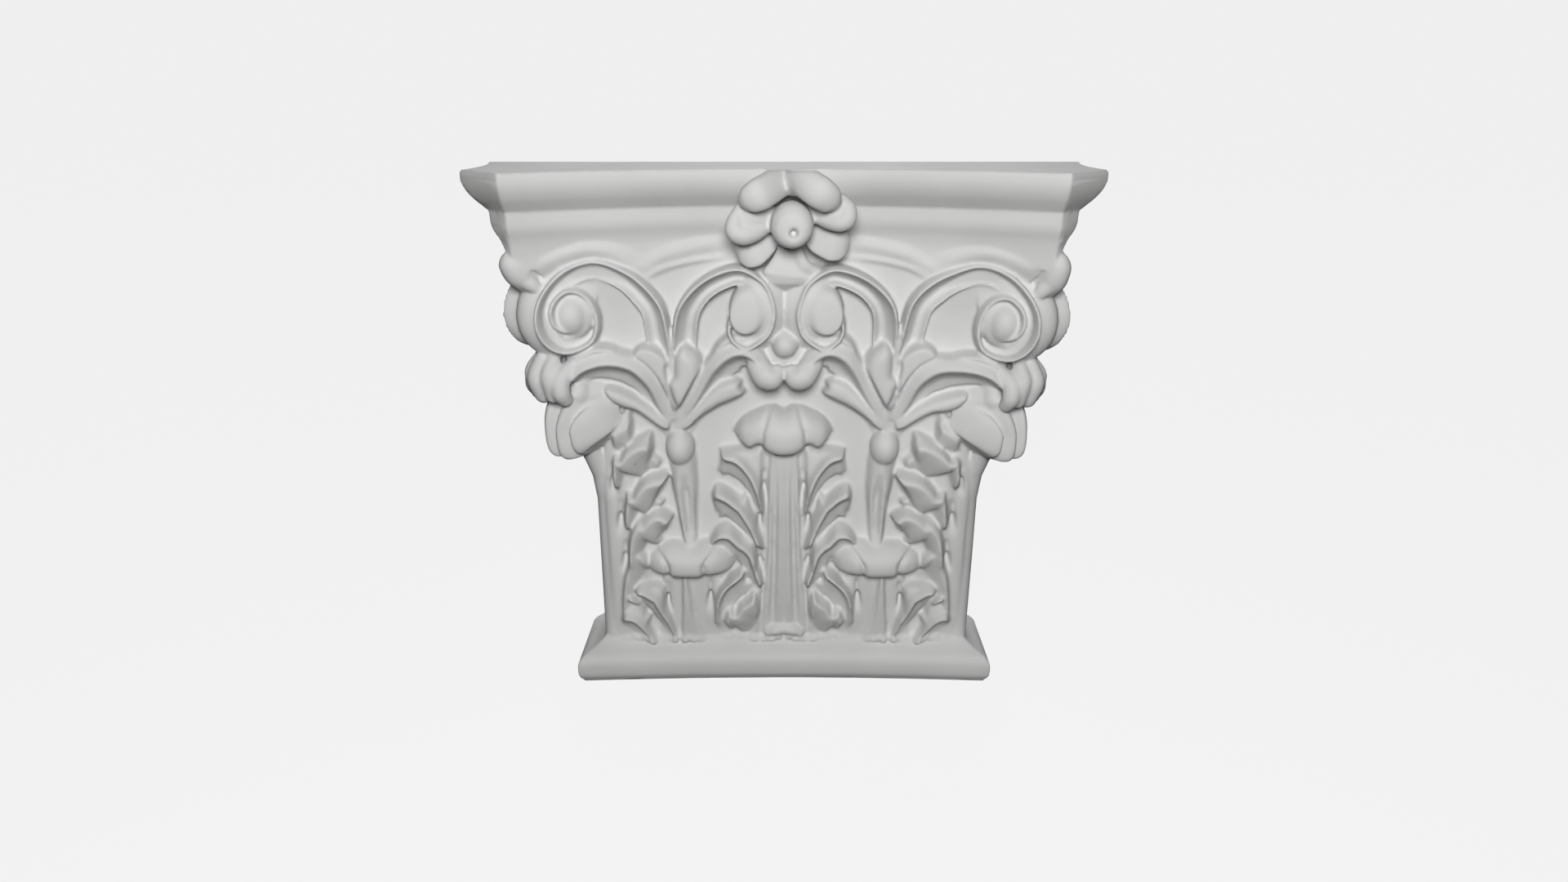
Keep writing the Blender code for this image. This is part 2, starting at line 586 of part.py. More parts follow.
def wound_ribbon(forms, path, hand, widths, heights, ground, side, drop=0.35):
    """Ribbon whose outer edge follows the path; hand says on which side its cove lies."""
    edge = curve(path, 6)
    run = np.gradient(edge, axis=0)
    run /= np.linalg.norm(run, axis=1)[:, None]
    inward = hand * np.stack((-run[:, 1], run[:, 0]), axis=1)
    length = np.concatenate(((0,), np.cumsum(np.linalg.norm(np.diff(edge, axis=0), axis=1))))
    t = length / length[-1]
    rings = []
    for i, here in enumerate(edge):
        width = float(along(widths, t[i]))
        gap = np.linspace(width, 0, 31)
        flat = here + np.outer(gap, inward[i])
        top = ground(flat[:, 0], flat[:, 1]) + along(heights, t[i]) * (ribbon(gap, width) - drop)
        deep = float(ground(here[0], here[1])) - 2 * SINK
        front = np.stack((flat[:, 0], top, flat[:, 1]), axis=1)
        back = [(flat[-1, 0], deep, flat[-1, 1]), (flat[0, 0], deep, flat[0, 1])]
        rings.append(np.vstack((front, back)))
    forms.loft(rings, side)


VOLUTE_PATH = np.array((
    (-65.4, 190), (-65.4, 206), (-65.5, 222), (-68.5, 242), (-79.4, 256.5), (-92, 265), (-106.6, 269.3),
    (-121.1, 265.4), (-131.4, 256.3), (-137.4, 244.6), (-137.9, 232), (-133.4, 221.7),
    (-125.6, 216.0), (-116.2, 216.5), (-107.7, 222.0), (-104.5, 232.9), (-106.9, 244.0),
    (-113.5, 251.6), (-121.9, 253.2), (-129, 247.5), (-131.4, 239.5), (-129, 231.5),
    (-122, 227.3), (-115, 230.5),
)) + (0.0, RIM_LIFT)
VOLUTE_EYE = (-121.0, 240.0)
SCROLL_START = 6
SCROLL_END = 16
SCROLL_SWELL = 5.5
HELIX_PATH = (
    (-65.2, 190), (-65.2, 206), (-65.0, 222), (-62.0, 240.7), (-53.5, 253.8), (-40.5, 263), (-25.0, 266.6),
    (-11.5, 259.5), (-5.5, 249), (-4.0, 237.6), (-8.0, 226.0), (-20.0, 217.5), (-30.5, 222.5),
    (-34.5, 231),
)
HELIX_EYE = (-21.8, 242.8)


def helix_depth(x, z):
    """Sheet that the inner scrolls lie on."""
    return bell_depth(x, z) + 8.0 - np.where(np.abs(x) > 45, stem_drop(x, z), 0)


def add_volutes(forms):
    """Corner scrolls on the front and on the side, with the barrel between them."""
    wound_ribbon(forms, VOLUTE_PATH, 1, (14.5, 14.5, 14, 12.5, 11.5, 10, 9.5, 9, 8.5, 8, 7),
                 (15, 15, 15, 15, 14, 13, 12), volute_depth, True)
    x, z = VOLUTE_EYE
    forms.ball((x, float(volute_depth(x, z)) - 1, z), (9.2, 12, 12.8), side=True)
    coil = curve(VOLUTE_PATH[SCROLL_START:SCROLL_END], 5)
    depth = volute_depth(coil[:, 0], coil[:, 1]) + 1.0
    front = np.stack((coil[:, 0], depth, coil[:, 1]), axis=1)
    side = turned_to_side(front)
    axis = np.array((x, float(volute_depth(x, z)), z))
    outward = front - axis
    outward /= np.linalg.norm(outward, axis=1)[:, None]
    rings = []
    for share in np.linspace(0, 1, 17):
        swell = SCROLL_SWELL * sin(pi * share) - 1.5
        rings.append(front * (1 - share) + side * share + swell * outward)
    forms.loft(rings)


def add_helices(forms):
    """Inner scrolls that meet under the flower, and the bead between them."""
    wound_ribbon(forms, HELIX_PATH, -1, (14.5, 14.5, 14, 12.5, 12, 10, 8.5, 8, 7.5, 7),
                 (15, 15, 15, 15, 15.5, 16, 16, 15.5, 14), helix_depth, False)
    x, z = HELIX_EYE
    forms.ball((x, float(helix_depth(x, z)), z), (13.4, 16, 16.5))
    forms.ball((x + 9.0, 42, z), (16.0, 19, 26))
    forms.ball((0, 48, 218.5), (7.6, 13, 8.6), both=False)


OUTER_LEAF_CREST = (
    (-65.5, 165), (-70.2, 175.5), (-73.5, 184), (-77, 195), (-82, 203.5), (-89, 209.5), (-98.5, 212),
    (-107.5, 211.5), (-116, 208), (-122, 202), (-124, 195.5), (-123, 189.5),
)
INNER_LEAF_CREST = (
    (-62.8, 165), (-58.5, 175), (-52.5, 186), (-44.5, 201.3), (-40, 208), (-34.5, 213.5), (-26, 217),
    (-18.5, 214.5), (-13.5, 208), (-12.5, 201),
)


def carve_caulicoles(carving):
    """Leaves that rise from the stalks and fold over to the corner and to the middle."""
    carving.blade([(-89, 204), (-91, 213), (-94, 216.5), (-99.5, 220.3), (-108, 221.5), (-116, 218.5),
                   (-124, 213), (-120, 204), (-100, 204)], 14, 2.5, (0.0, -0.05))
    carving.blade([(-66, 178), (-67, 196), (-68.2, 206), (-67.2, 211), (-70, 215.5), (-75, 218.8),
                   (-80, 220.6), (-84.6, 219.4), (-87.4, 215.8), (-88, 206), (-80, 190), (-70, 178)],
                  14, 2.5, (0.0, -0.04))
    carving.fold(OUTER_LEAF_CREST, (7, 7.5, 8.5, 10.5, 13.5, 14, 13.5, 12, 9.5, 6.5, 5, 5),
                 (7, 7, 6.5, 6, 6, 6, 6, 6, 6, 7, 7, 6),
                 (6, 8.5, 11.5, 15, 17.5, 18.5, 18.5, 19, 19, 19, 18, 16), 1)
    carving.blade([(-65, 166), (-71.5, 175.5), (-79.5, 183), (-87, 188.5), (-96, 193.5), (-103, 195.5),
                   (-106, 193.5), (-101.8, 186.4), (-94.3, 182), (-87.8, 179.8), (-80.3, 173.8),
                   (-73.9, 168.8)], 12, 4.5)
    carving.blade([(-63.8, 168), (-67.4, 184), (-68.2, 198), (-65, 202.5), (-64.2, 211.5), (-62.6, 216.8),
                   (-58.4, 220), (-53.4, 218), (-48.8, 212.8), (-47.4, 206), (-48, 198), (-56, 182)],
                  17, 7.5)
    carving.ridge(((-68.8, 199), (-66.6, 190.5), (-63.8, 184), (-63.0, 173)), 2.0, -5.0)
    carving.blade([(-50, 192), (-44.7, 201.8), (-43.7, 208.4), (-42.3, 215), (-37.3, 222.7), (-30, 227),
                   (-22, 226), (-16, 216), (-26, 210), (-38, 200)], 14, 2.5)
    carving.fold(INNER_LEAF_CREST, (7, 7.5, 9, 11, 13, 14, 14.5, 12, 8, 6),
                 (7, 7, 6.5, 6, 6, 6, 6, 6, 6, 6), (6, 8.5, 12, 15.5, 17.5, 18.5, 19, 19, 19, 17), -1)
    carving.blade([(-63.5, 166), (-55.1, 178.5), (-48.4, 187), (-39.2, 195.5), (-30.2, 198.6),
                   (-25.4, 197), (-25.8, 194), (-23.2, 190), (-30.5, 185.8), (-38.4, 182.4),
                   (-48.9, 175.6), (-56.5, 168.8)], 12, 4.5)


def add_caulicoles(forms):
    """Beads on the stalks, and the curled ends of the inner leaves."""
    forms.ball((-62.8, 45, 155.5), (8.9, 12, 11.4))
    forms.tube(((-15.5, 54, 208), (-10.5, 57, 204), (-5, 58, 206), (-1.5, 57, 212)), (6.5, 8, 8, 6))


FLOWER_CENTRE = (4.2, 291.5)
# Petals of the flower: path from the boss outward, beside and above its middle, then half widths,
# how much the petal rises between its edges and how much its edges roll
TOP_PETALS = (
    (((-0.8, 62, 21), (-9.3, 76, 21), (-18.3, 81, 16.7), (-24, 79, 12.5)), (7, 8.5, 8.5, 5.5),
     (4, 5, 5, 3.5), 0.0),
    (((0.5, 62, 21), (6, 76, 22.5), (14.5, 82, 17.9), (22, 80, 12.5)), (7, 8, 8.5, 6),
     (5, 6, 6, 4), 0.0),
)
SIDE_PETALS = (
    (((-8, 60, 3), (-18, 70, 4), (-25.5, 76, -0.6), (-29.5, 73, -5)), (4, 9.5, 10, 6.5), (1, 2, 4, 4), 1.5),
    (((8, 60, 3), (18, 70, 5), (25, 76, 4), (29, 73, 0.5)), (4, 9, 10, 7), (1, 2, 4, 4), 1.5),
)
LOWER_PETALS = (
    (((-6, 54, -4), (-13, 60, -10.5), (-19, 63, -15.5), (-25, 62, -18.5), (-27, 61, -19.5)),
     (5, 9, 10.5, 9.0, 4), (1.5, 1.5, 1.5, 1.5), 1.6),
    (((6, 54, -4), (13, 60, -10), (20, 63, -14), (26, 62, -16), (28, 61, -16.5)),
     (5, 9, 10.5, 9.0, 4), (1.5, 1.5, 1.5, 1.5), 1.6),
)
# Boss: radius, distance out and share of the way to the drilled hole
BOSS = ((11.0, 60, 0.0), (11.8, 70, 0.0), (11.8, 75, 0.1), (10.8, 79, 0.25), (8.6, 82, 0.5),
        (5.6, 83.6, 0.8), (3.4, 83.8, 0.95), (2.4, 83.0, 1.0), (1.9, 81.0, 1.0), (1.6, 78.5, 1.0))
BOSS_HOLE = (1.0, -3.6)


def add_petal(forms, path, half_widths, rise, roll):
    """Petal along a path (x, p, z): a shell whose two edges roll forward, by as much as roll says."""
    line = curve(path, 6)
    t = np.linspace(0, 1, len(line))
    run = np.gradient(line, axis=0)
    run /= np.linalg.norm(run, axis=1)[:, None]
    wide = np.cross(run, (0.0, 1.0, 0.0))
    wide /= np.linalg.norm(wide, axis=1)[:, None]
    out = np.cross(wide, run)
    out *= np.sign(out[:, 1:2])
    s = np.linspace(-1, 1, 25)
    rings = []
    for i, here in enumerate(line):
        half = along(half_widths, t[i])
        lift = along(rise, t[i])
        cup = roll * np.abs(s) ** 2.5
        front = here + np.outer(s * half, wide[i]) + np.outer(lift * (1 - s * s) ** 0.5 + cup, out[i])
        back = here + np.outer(s[::-1] * half, wide[i]) - np.outer(2.5 + 2.0 * (1 - s * s), out[i])
        rings.append(np.vstack((front, back[1:-1])))
    forms.loft(rings, both=False)


def add_fleuron(forms):
    """Flower: six petals round a drilled boss, on a leaf that hangs over the bell."""
    x, z = FLOWER_CENTRE
    for path, half_widths, rise, roll in TOP_PETALS + SIDE_PETALS + LOWER_PETALS:
        add_petal(forms, [(x + a, p, z + b) for a, p, b in path], half_widths, rise, roll)
    turn = np.linspace(0, 2 * pi, 28, endpoint=False)
    rings = []
    for radius, p, share in BOSS:
        rings.append(np.stack((x + share * BOSS_HOLE[0] + radius * np.cos(turn), np.full(28, float(p)),
                               z + share * BOSS_HOLE[1] + 1.05 * radius * np.sin(turn)), axis=1))
    forms.loft(rings, both=False)
    forms.band(((x, z - 8), (x - 0.5, z - 15), (x - 1.5, z - 23), (x - 2.5, z - 30), (x - 3, z - 35),
                (x - 3, z - 39)), (6, 7, 10, 14, 12, 3), (15, 14, 15, 17, 17, 14), shield, bell_depth,
               both=False)


def add_horn_leaf(forms):
    """Tongue of leaf on the corner, under the horn of the abacus."""
    forms.tube(((-143, 61, 275), (-147, 69, 272), (-148, 71.5, 267)), (7, 9, 8.5))
    forms.tube(((-145, 67, 272), (-141, 70, 267), (-138, 69, 262.5)), (4, 4.8, 3.6))


def abacus_outline(inset):
    """Outline of the abacus from the wall on the left to the wall on the right."""
    horn_x = ABACUS_HALF_WIDTH - 1.3 * inset
    horn_p = ARRIS_HALF_WIDTH + ABACUS_DEPTH - ABACUS_HALF_WIDTH + 0.3 * inset
    x = np.linspace(0, ARRIS_HALF_WIDTH, 25)
    front = ABACUS_DEPTH - ABACUS_HOLLOW * (1 - (x / ARRIS_HALF_WIDTH) ** 2) - inset
    p = np.linspace(horn_p, -SINK, 15)
    share = np.clip(p / horn_p, 0, 1)
    wall_x = ABACUS_WALL_HALF_WIDTH - 1.3 * inset
    side = wall_x + (horn_x - wall_x) * share - ABACUS_SIDE_HOLLOW * 4 * share * (1 - share)
    right = np.vstack((np.stack((x, front), axis=1), np.stack((side, p), axis=1)))
    return np.vstack((right[::-1] * (-1, 1), right[1:]))


def base_outline(share):
    """Outline of the base from the wall on the left to the wall on the right."""
    reach = NECK_HALF_WIDTH + BASE_SIDE_PROJECTION * share
    x = np.linspace(0, reach, 25)
    front = NECK_DEPTH + NECK_HOLLOW * (x / reach) ** 2 + BASE_FRONT_PROJECTION * share
    right = np.vstack((np.stack((x, front), axis=1), ((reach, -SINK),)))
    return np.vstack((right[::-1] * (-1, 1), right[1:]))


def smooth_profile(points):
    return curve(points, 3)


def add_mouldings(forms):
    """Abacus and base, in their real sizes."""
    top = abacus_outline(ABACUS_PROFILE[0][1] * ABACUS_STEP)
    rings = [np.insert(top, 2, HEIGHT + SINK, axis=1)]
    for drop, inset in smooth_profile(ABACUS_PROFILE):
        outline = abacus_outline(inset * ABACUS_STEP)
        rings.append(np.insert(outline, 2, HEIGHT - drop * ABACUS_HEIGHT, axis=1))
    forms.loft(rings, both=False)
    rings = [np.insert(base_outline(BASE_PROFILE[0][1]), 2, -SINK, axis=1)]
    for rise, share in smooth_profile(BASE_PROFILE):
        rings.append(np.insert(base_outline(share), 2, rise * BASE_HEIGHT, axis=1))
    forms.loft(rings, both=False)


# Where the right half, carved by hand too, departs from the mirrored left: place, then shift
DRIFTS = (
    (120, 240, 6.0, -6.5), (118, 217, 3.2, -5.5), (138, 240, 4.0, -2.5), (107, 268, 3.5, -2.0),
    (65, 235, 3.0, 3.0), (22, 243, 3.4, -1.0), (45, 262, 2.0, 0.0), (62, 205, -2.0, 0.0),
    (64, 165, -1.5, 0.0), (63, 154, -2.4, 0.0), (60, 120, -3.4, 0.0), (58, 82, -0.8, 0.0),
    (113, 178, 3.5, -4.0), (116, 130, 4.4, 0.0), (114, 90, 3.6, 0.0), (114, 40, 2.6, 0.0),
    (135, 200, 1.6, -2.0), (0, 200, 0, 0), (0, 150, 0, 0), (0, 80, 0, 0), (30, 80, 0, 0),
    (30, 40, 0, 0), (150, 290, 0, 0), (60, 300, 0, 0),
)
DRIFT_REACH = 18.0


def hand_carved(points):
    """Points with the small shifts that the right half has."""
    x, z = points[:, 0], points[:, 2]
    total = np.full(len(points), 0.05)
    across = np.zeros(len(points))
    up = np.zeros(len(points))
    for place_x, place_z, shift_x, shift_z in DRIFTS:
        weight = np.exp(-((x - place_x) ** 2 + (z - place_z) ** 2) / (2 * DRIFT_REACH ** 2))
        total += weight
        across += weight * shift_x
        up += weight * shift_z
    right = eased(x, 0.0, 6.0)
    return points + np.stack((right * across / total, np.zeros(len(points)), right * up / total), axis=1)


def stretched(points):
    """Points of the drawing moved to the real block."""
    x, p, z = np.asarray(points).T
    x = np.sign(x) * np.interp(np.abs(x), (0, DRAWN_NECK, DRAWN_HALF_WIDTH),
                               (0, NECK_HALF_WIDTH, ABACUS_HALF_WIDTH))
    p = np.where(p < 0, p, np.interp(p, (0, DRAWN_NECK_DEPTH, DRAWN_DEPTH),
                                     (0, NECK_DEPTH, ABACUS_DEPTH)))
    z = np.interp(z, (0, DRAWN_BASE, DRAWN_HEIGHT - DRAWN_ABACUS, DRAWN_HEIGHT),
                  (0, BASE_HEIGHT, HEIGHT - ABACUS_HEIGHT, HEIGHT))
    return np.stack((x, p, z), axis=1)


def remeshed(mesh, voxel, rounds, faces):
    """One skin over all the forms, softened like a cast, with about so many triangles."""
    holder = bpy.data.objects.new("forms", mesh)
    bpy.context.scene.collection.objects.link(holder)
    fuse = holder.modifiers.new("fuse", 'REMESH')
    fuse.mode = 'VOXEL'
    fuse.voxel_size = voxel * MM
    soften = holder.modifiers.new("soften", 'SMOOTH')
    soften.factor = 0.5
    soften.iterations = int(round(rounds))
    skin = bpy.data.meshes.new_from_object(holder.evaluated_get(bpy.context.evaluated_depsgraph_get()))
    holder.modifiers.clear()
    holder.data = skin
    thin = holder.modifiers.new("thin", 'DECIMATE')
    thin.ratio = min(1.0, faces / (2.0 * len(skin.polygons)))
    result = bpy.data.meshes.new_from_object(holder.evaluated_get(bpy.context.evaluated_depsgraph_get()))
    bpy.data.objects.remove(holder)
    return result


def cut_flat(mesh):
    """Cut the back, the top and the underside flat, and close the cuts."""
    half_depth = ABACUS_DEPTH / 2
    planes = ((1, half_depth, 1), (2, HEIGHT, 1), (2, 0.0, -1))
    solid = bmesh.new()
    solid.from_mesh(mesh)
    for axis, place, facing in planes:
        for vert in solid.verts:
            if abs(vert.co[axis] - place * MM) < SNAP * MM:
                vert.co[axis] = place * MM
        spot = [0.0, 0.0, 0.0]
        spot[axis] = place * MM
        normal = [0.0, 0.0, 0.0]
        normal[axis] = facing
        everything = solid.verts[:] + solid.edges[:] + solid.faces[:]
        bmesh.ops.bisect_plane(solid, geom=everything, dist=1e-6, clear_outer=True,
                               plane_co=spot, plane_no=normal)
        rim = [edge for edge in solid.edges if edge.is_boundary]
        bmesh.ops.triangle_fill(solid, use_beauty=True, use_dissolve=False, edges=rim)
    bmesh.ops.triangulate(solid, faces=solid.faces)
    bmesh.ops.recalc_face_normals(solid, faces=solid.faces)
    solid.to_mesh(mesh)
    solid.free()
    mesh.update()


def plaster():
    """Pale grey cast plaster."""
    material = bpy.data.materials.new("cast plaster")
    material.use_nodes = True
    shader = material.node_tree.nodes["Principled BSDF"]
    shader.inputs["Base Color"].default_value = (0.66, 0.66, 0.65, 1.0)
    shader.inputs["Roughness"].default_value = 0.75
    shader.inputs["Metallic"].default_value = 0.0
    return material


def build_capital():
    drawn = Forms()
    add_bell(drawn)
    add_corner_rib(drawn)
    add_leaf_tips(drawn)
    add_volutes(drawn)
    add_helices(drawn)
    add_caulicoles(drawn)
    add_horn_leaf(drawn)
    flower = Forms()
    add_fleuron(flower)
    forms = Forms()
    forms.add(stretched(hand_carved(np.vstack(drawn.points))), drawn.faces)
    forms.add(stretched(np.vstack(flower.points)), flower.faces)
    add_mouldings(forms)
    points = np.vstack(forms.points)
    world = np.stack((points[:, 0], ABACUS_DEPTH / 2 - points[:, 1], points[:, 2]), axis=1) * MM
    mesh = bpy.data.meshes.new("pilaster_capital")
    mesh.from_pydata(world.tolist(), [], forms.faces)
    skin = remeshed(mesh, VOXEL, SMOOTHING_ROUNDS, FACES)
    skin.name = "pilaster_capital"
    cut_flat(skin)
    skin.materials.clear()
    skin.materials.append(plaster())
    capital = bpy.data.objects.new("pilaster_capital", skin)
    bpy.context.scene.collection.objects.link(capital)
    return capital


for old in list(bpy.data.objects):
    bpy.data.objects.remove(old)
build_capital()
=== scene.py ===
"""Fine plaster surface of the pilaster capital.

Forms are drawn in millimetres: x across, p out from the wall and z up. The left half is
mirrored, the right half then shifts where its carving differs, and all forms fuse into one skin.
"""
from math import cos, pi, radians, sin

import bmesh
import bpy
import numpy as np
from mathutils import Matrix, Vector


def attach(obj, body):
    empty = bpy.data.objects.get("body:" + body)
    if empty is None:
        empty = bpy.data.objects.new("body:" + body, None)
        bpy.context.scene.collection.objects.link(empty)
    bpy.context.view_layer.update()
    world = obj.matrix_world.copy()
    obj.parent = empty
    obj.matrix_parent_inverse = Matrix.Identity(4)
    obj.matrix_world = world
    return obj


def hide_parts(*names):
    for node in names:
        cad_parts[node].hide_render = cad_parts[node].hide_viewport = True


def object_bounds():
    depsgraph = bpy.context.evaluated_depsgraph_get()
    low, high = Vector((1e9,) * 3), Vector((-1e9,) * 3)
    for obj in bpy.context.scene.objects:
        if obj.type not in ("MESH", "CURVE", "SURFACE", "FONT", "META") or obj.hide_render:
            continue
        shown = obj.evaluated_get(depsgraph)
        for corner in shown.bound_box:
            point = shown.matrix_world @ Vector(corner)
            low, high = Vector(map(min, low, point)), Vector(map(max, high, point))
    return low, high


MM = 0.001
# Sizes of the capital
HEIGHT = 320.0
BASE_HEIGHT = 24.0
ABACUS_HEIGHT = 37.0
ABACUS_HALF_WIDTH = 174.5
ABACUS_WALL_HALF_WIDTH = 177.5
ABACUS_DEPTH = 96.0
ABACUS_HOLLOW = 36.0
ABACUS_SIDE_HOLLOW = 4.5
ABACUS_STEP = 18.0
ARRIS_HALF_WIDTH = 147.5
NECK_HALF_WIDTH = 114.5
NECK_DEPTH = 38.0
NECK_HOLLOW = 4.0
BASE_SIDE_PROJECTION = 17.0
BASE_FRONT_PROJECTION = 15.5
SIDE_RECESS = 11.0
# Fineness of the skin, and how far the forms reach into the body behind them
STEP = 0.6
SOFTENING = 2
SINK = 8.0
VOXEL = 1.0
SMOOTHING_ROUNDS = 2
FACES = 180000
SNAP = 0.25
# Camera and light, in metres, degrees and watts
CAMERA_ELEVATION = 18.2
CAMERA_DISTANCE = 0.641
CAMERA_LENS = 24.445
KEY_DISTANCE = 0.85
KEY_ELEVATION = 26.0
KEY_SIZE = 0.26
KEY_WATTS = 6.2
BACK_ELEVATION = 12.0
BACK_SPREAD = 36.0
BACK_STRENGTH = 2.0
FILL_BELOW = 0.02
FILL_ABOVE = 0.44
STUDIO_RADIUS = 4.0
STUDIO_CURVE = 1.6
STUDIO_HEIGHT = 7.0
STUDIO_SIDES = 96
PAPER_SHADE = 0.04
PAPER_GLOW = 0.865
# Plaster: each tone with its place in the clouds
PLASTER_TONES = ((0.32, (0.6, 0.6, 0.592, 1)), (0.68, (0.665, 0.665, 0.66, 1)))
PLASTER_ROUGHNESS = (0.62, 0.8)
CLOUD_SCALE = 14.0
GRAIN_SCALE = 900.0
GRAIN_DEPTH = 0.0004

# Mouldings: share of the height, then share of the inset or projection
ABACUS_PROFILE = (
    (0, 0.07), (0.03, 0.01), (0.07, 0), (0.16, 0.01), (0.27, 0.09), (0.38, 0.24),
    (0.47, 0.42), (0.54, 0.57), (0.56, 0.63), (0.6, 0.64), (0.76, 0.66), (0.86, 0.72),
    (0.93, 0.8), (1, 0.87), (1.12, 0.95), (1.28, 1.02), (1.44, 1.06),
)
BASE_PROFILE = (
    (0, 0.8), (0.05, 0.86), (0.13, 0.94), (0.2, 0.98), (0.32, 1),
    (0.44, 1), (0.54, 0.98), (0.62, 0.93), (0.69, 0.85), (0.74, 0.76), (0.79, 0.64),
    (0.84, 0.5), (0.9, 0.36), (0.97, 0.22), (1.05, 0.08), (1.14, -0.05), (1.4, -0.15),
)
# Bell: heights, then half widths, depths in its middle and how much deeper its corners are
BELL_WIDTHS = ((0, 130, 150, 200, 240, 262, 283, 300), (114.5, 114.5, 116.5, 121, 125, 134, 150, 152))
BELL_DEPTHS = ((0, 26, 150, 240, 283, 310), (38, 38, 40, 43, 44, 44))
BELL_HOLLOWS = ((0, 120, 170, 240, 266, 283, 310), (4, 4, 10, 19, 30, 35, 36))
BELL_CORNER = 149.0
# Sheet that the outer scrolls are cut from, and the rims of the scrolls
SHEET_DEPTH = 54.0
SHEET_TURN = 95.0
SHEET_REACH = 47.0
SHEET_RISE = 22.0
STEM_DROP = 11.0
RIM_LIFT = 2.0
RIM_THICKNESS = 2.2
RIBBON_DROP = 0.35
# Where the 45 degree line between front and side face passes, and the round rib there
CORNER = 79.0
RIB_RADIUS = 6.5
RIB_HEIGHTS = (14, 40, 80, 120, 136, 148, 158, 168)
RIB_LEAN = 10.0
# Rounded end of a finger: how far ahead and how wide its rings are, as shares of its radius
FINGER_END = ((0.97, 0.25), (0.87, 0.5), (0.6, 0.8), (0.3, 0.95))


def along(values, t):
    """Value at share t of evenly spaced values."""
    return np.interp(t, np.linspace(0, 1, len(values)), values)


def curve(points, steps=6):
    """Smooth line through points."""
    pts = np.asarray(points, float)
    pts = np.vstack((2 * pts[0] - pts[1], pts, 2 * pts[-1] - pts[-2]))
    t = np.linspace(0, 1, steps, endpoint=False)[:, None]
    runs = []
    for a, b, c, d in zip(pts, pts[1:], pts[2:], pts[3:]):
        runs.append(0.5 * (2 * b + (c - a) * t + (2 * a - 5 * b + 4 * c - d) * t ** 2
                           + (3 * b - a - 3 * c + d) * t ** 3))
    return np.vstack(runs + [pts[-2:-1]])


def unit(vectors):
    return vectors / np.linalg.norm(vectors, axis=1)[:, None]


def turns(count):
    return np.linspace(0, 2 * pi, count, endpoint=False)


def columns(*values):
    return np.stack(values, axis=1)


def bell_half_width(z):
    return np.interp(z, *BELL_WIDTHS)


def bell_depth(x, z):
    return np.interp(z, *BELL_DEPTHS) + np.interp(z, *BELL_HOLLOWS) * (x / BELL_CORNER) ** 2


def eased(value, low, high):
    """Smooth step from 0 at low to 1 at high."""
    t = np.clip((value - low) / (high - low), 0, 1)
    return t * t * (3 - 2 * t)


def stem_drop(x, z):
    """How far the scrolls' stems lie back behind the leaves."""
    return STEM_DROP * (1 - eased(z, 192, 250)) * (1 - eased(np.abs(x), 78, 100))


def volute_depth(x, z):
    """How far the outer scrolls' sheet stands out: it turns forward at the corner."""
    turned = np.maximum(0, (np.abs(x) - SHEET_TURN) / SHEET_REACH)
    return SHEET_DEPTH + SHEET_RISE * turned ** 2 - stem_drop(x, z)


def turned_to_side(points):
    points = np.array(points, float)
    return columns(-CORNER - points[:, 1], -CORNER - points[:, 0], points[:, 2])


def line_frames(line):
    """Directions along a line (x, p, z), across it and out of it."""
    run = unit(np.gradient(line, axis=0))
    wide = unit(np.cross(run, (0, 1, 0)))
    return run, wide, np.cross(wide, run)


def upright_ring(middle, radii, depth, count):
    turn = turns(count)
    return columns(middle[0] + radii[0] * np.cos(turn), np.full(count, float(depth)),
                   middle[1] + radii[1] * np.sin(turn))


def sheet_ring(here, across, gap, lift, ground, depth):
    """Ring over a strip on a surface: front off the ground, back in it."""
    flat = here + np.outer(gap, across)
    front = columns(flat[:, 0], ground(flat[:, 0], flat[:, 1]) + lift, flat[:, 1])
    deep = float(ground(here[0], here[1])) - depth
    return np.vstack((front, [(flat[i, 0], deep, flat[i, 1]) for i in (-1, 0)]))


def ring_faces(rows, size):
    faces = []
    for i in range(rows - 1):
        for j in range(size):
            k = (j + 1) % size
            faces.append((i * size + j, i * size + k, (i + 1) * size + k, (i + 1) * size + j))
    return faces


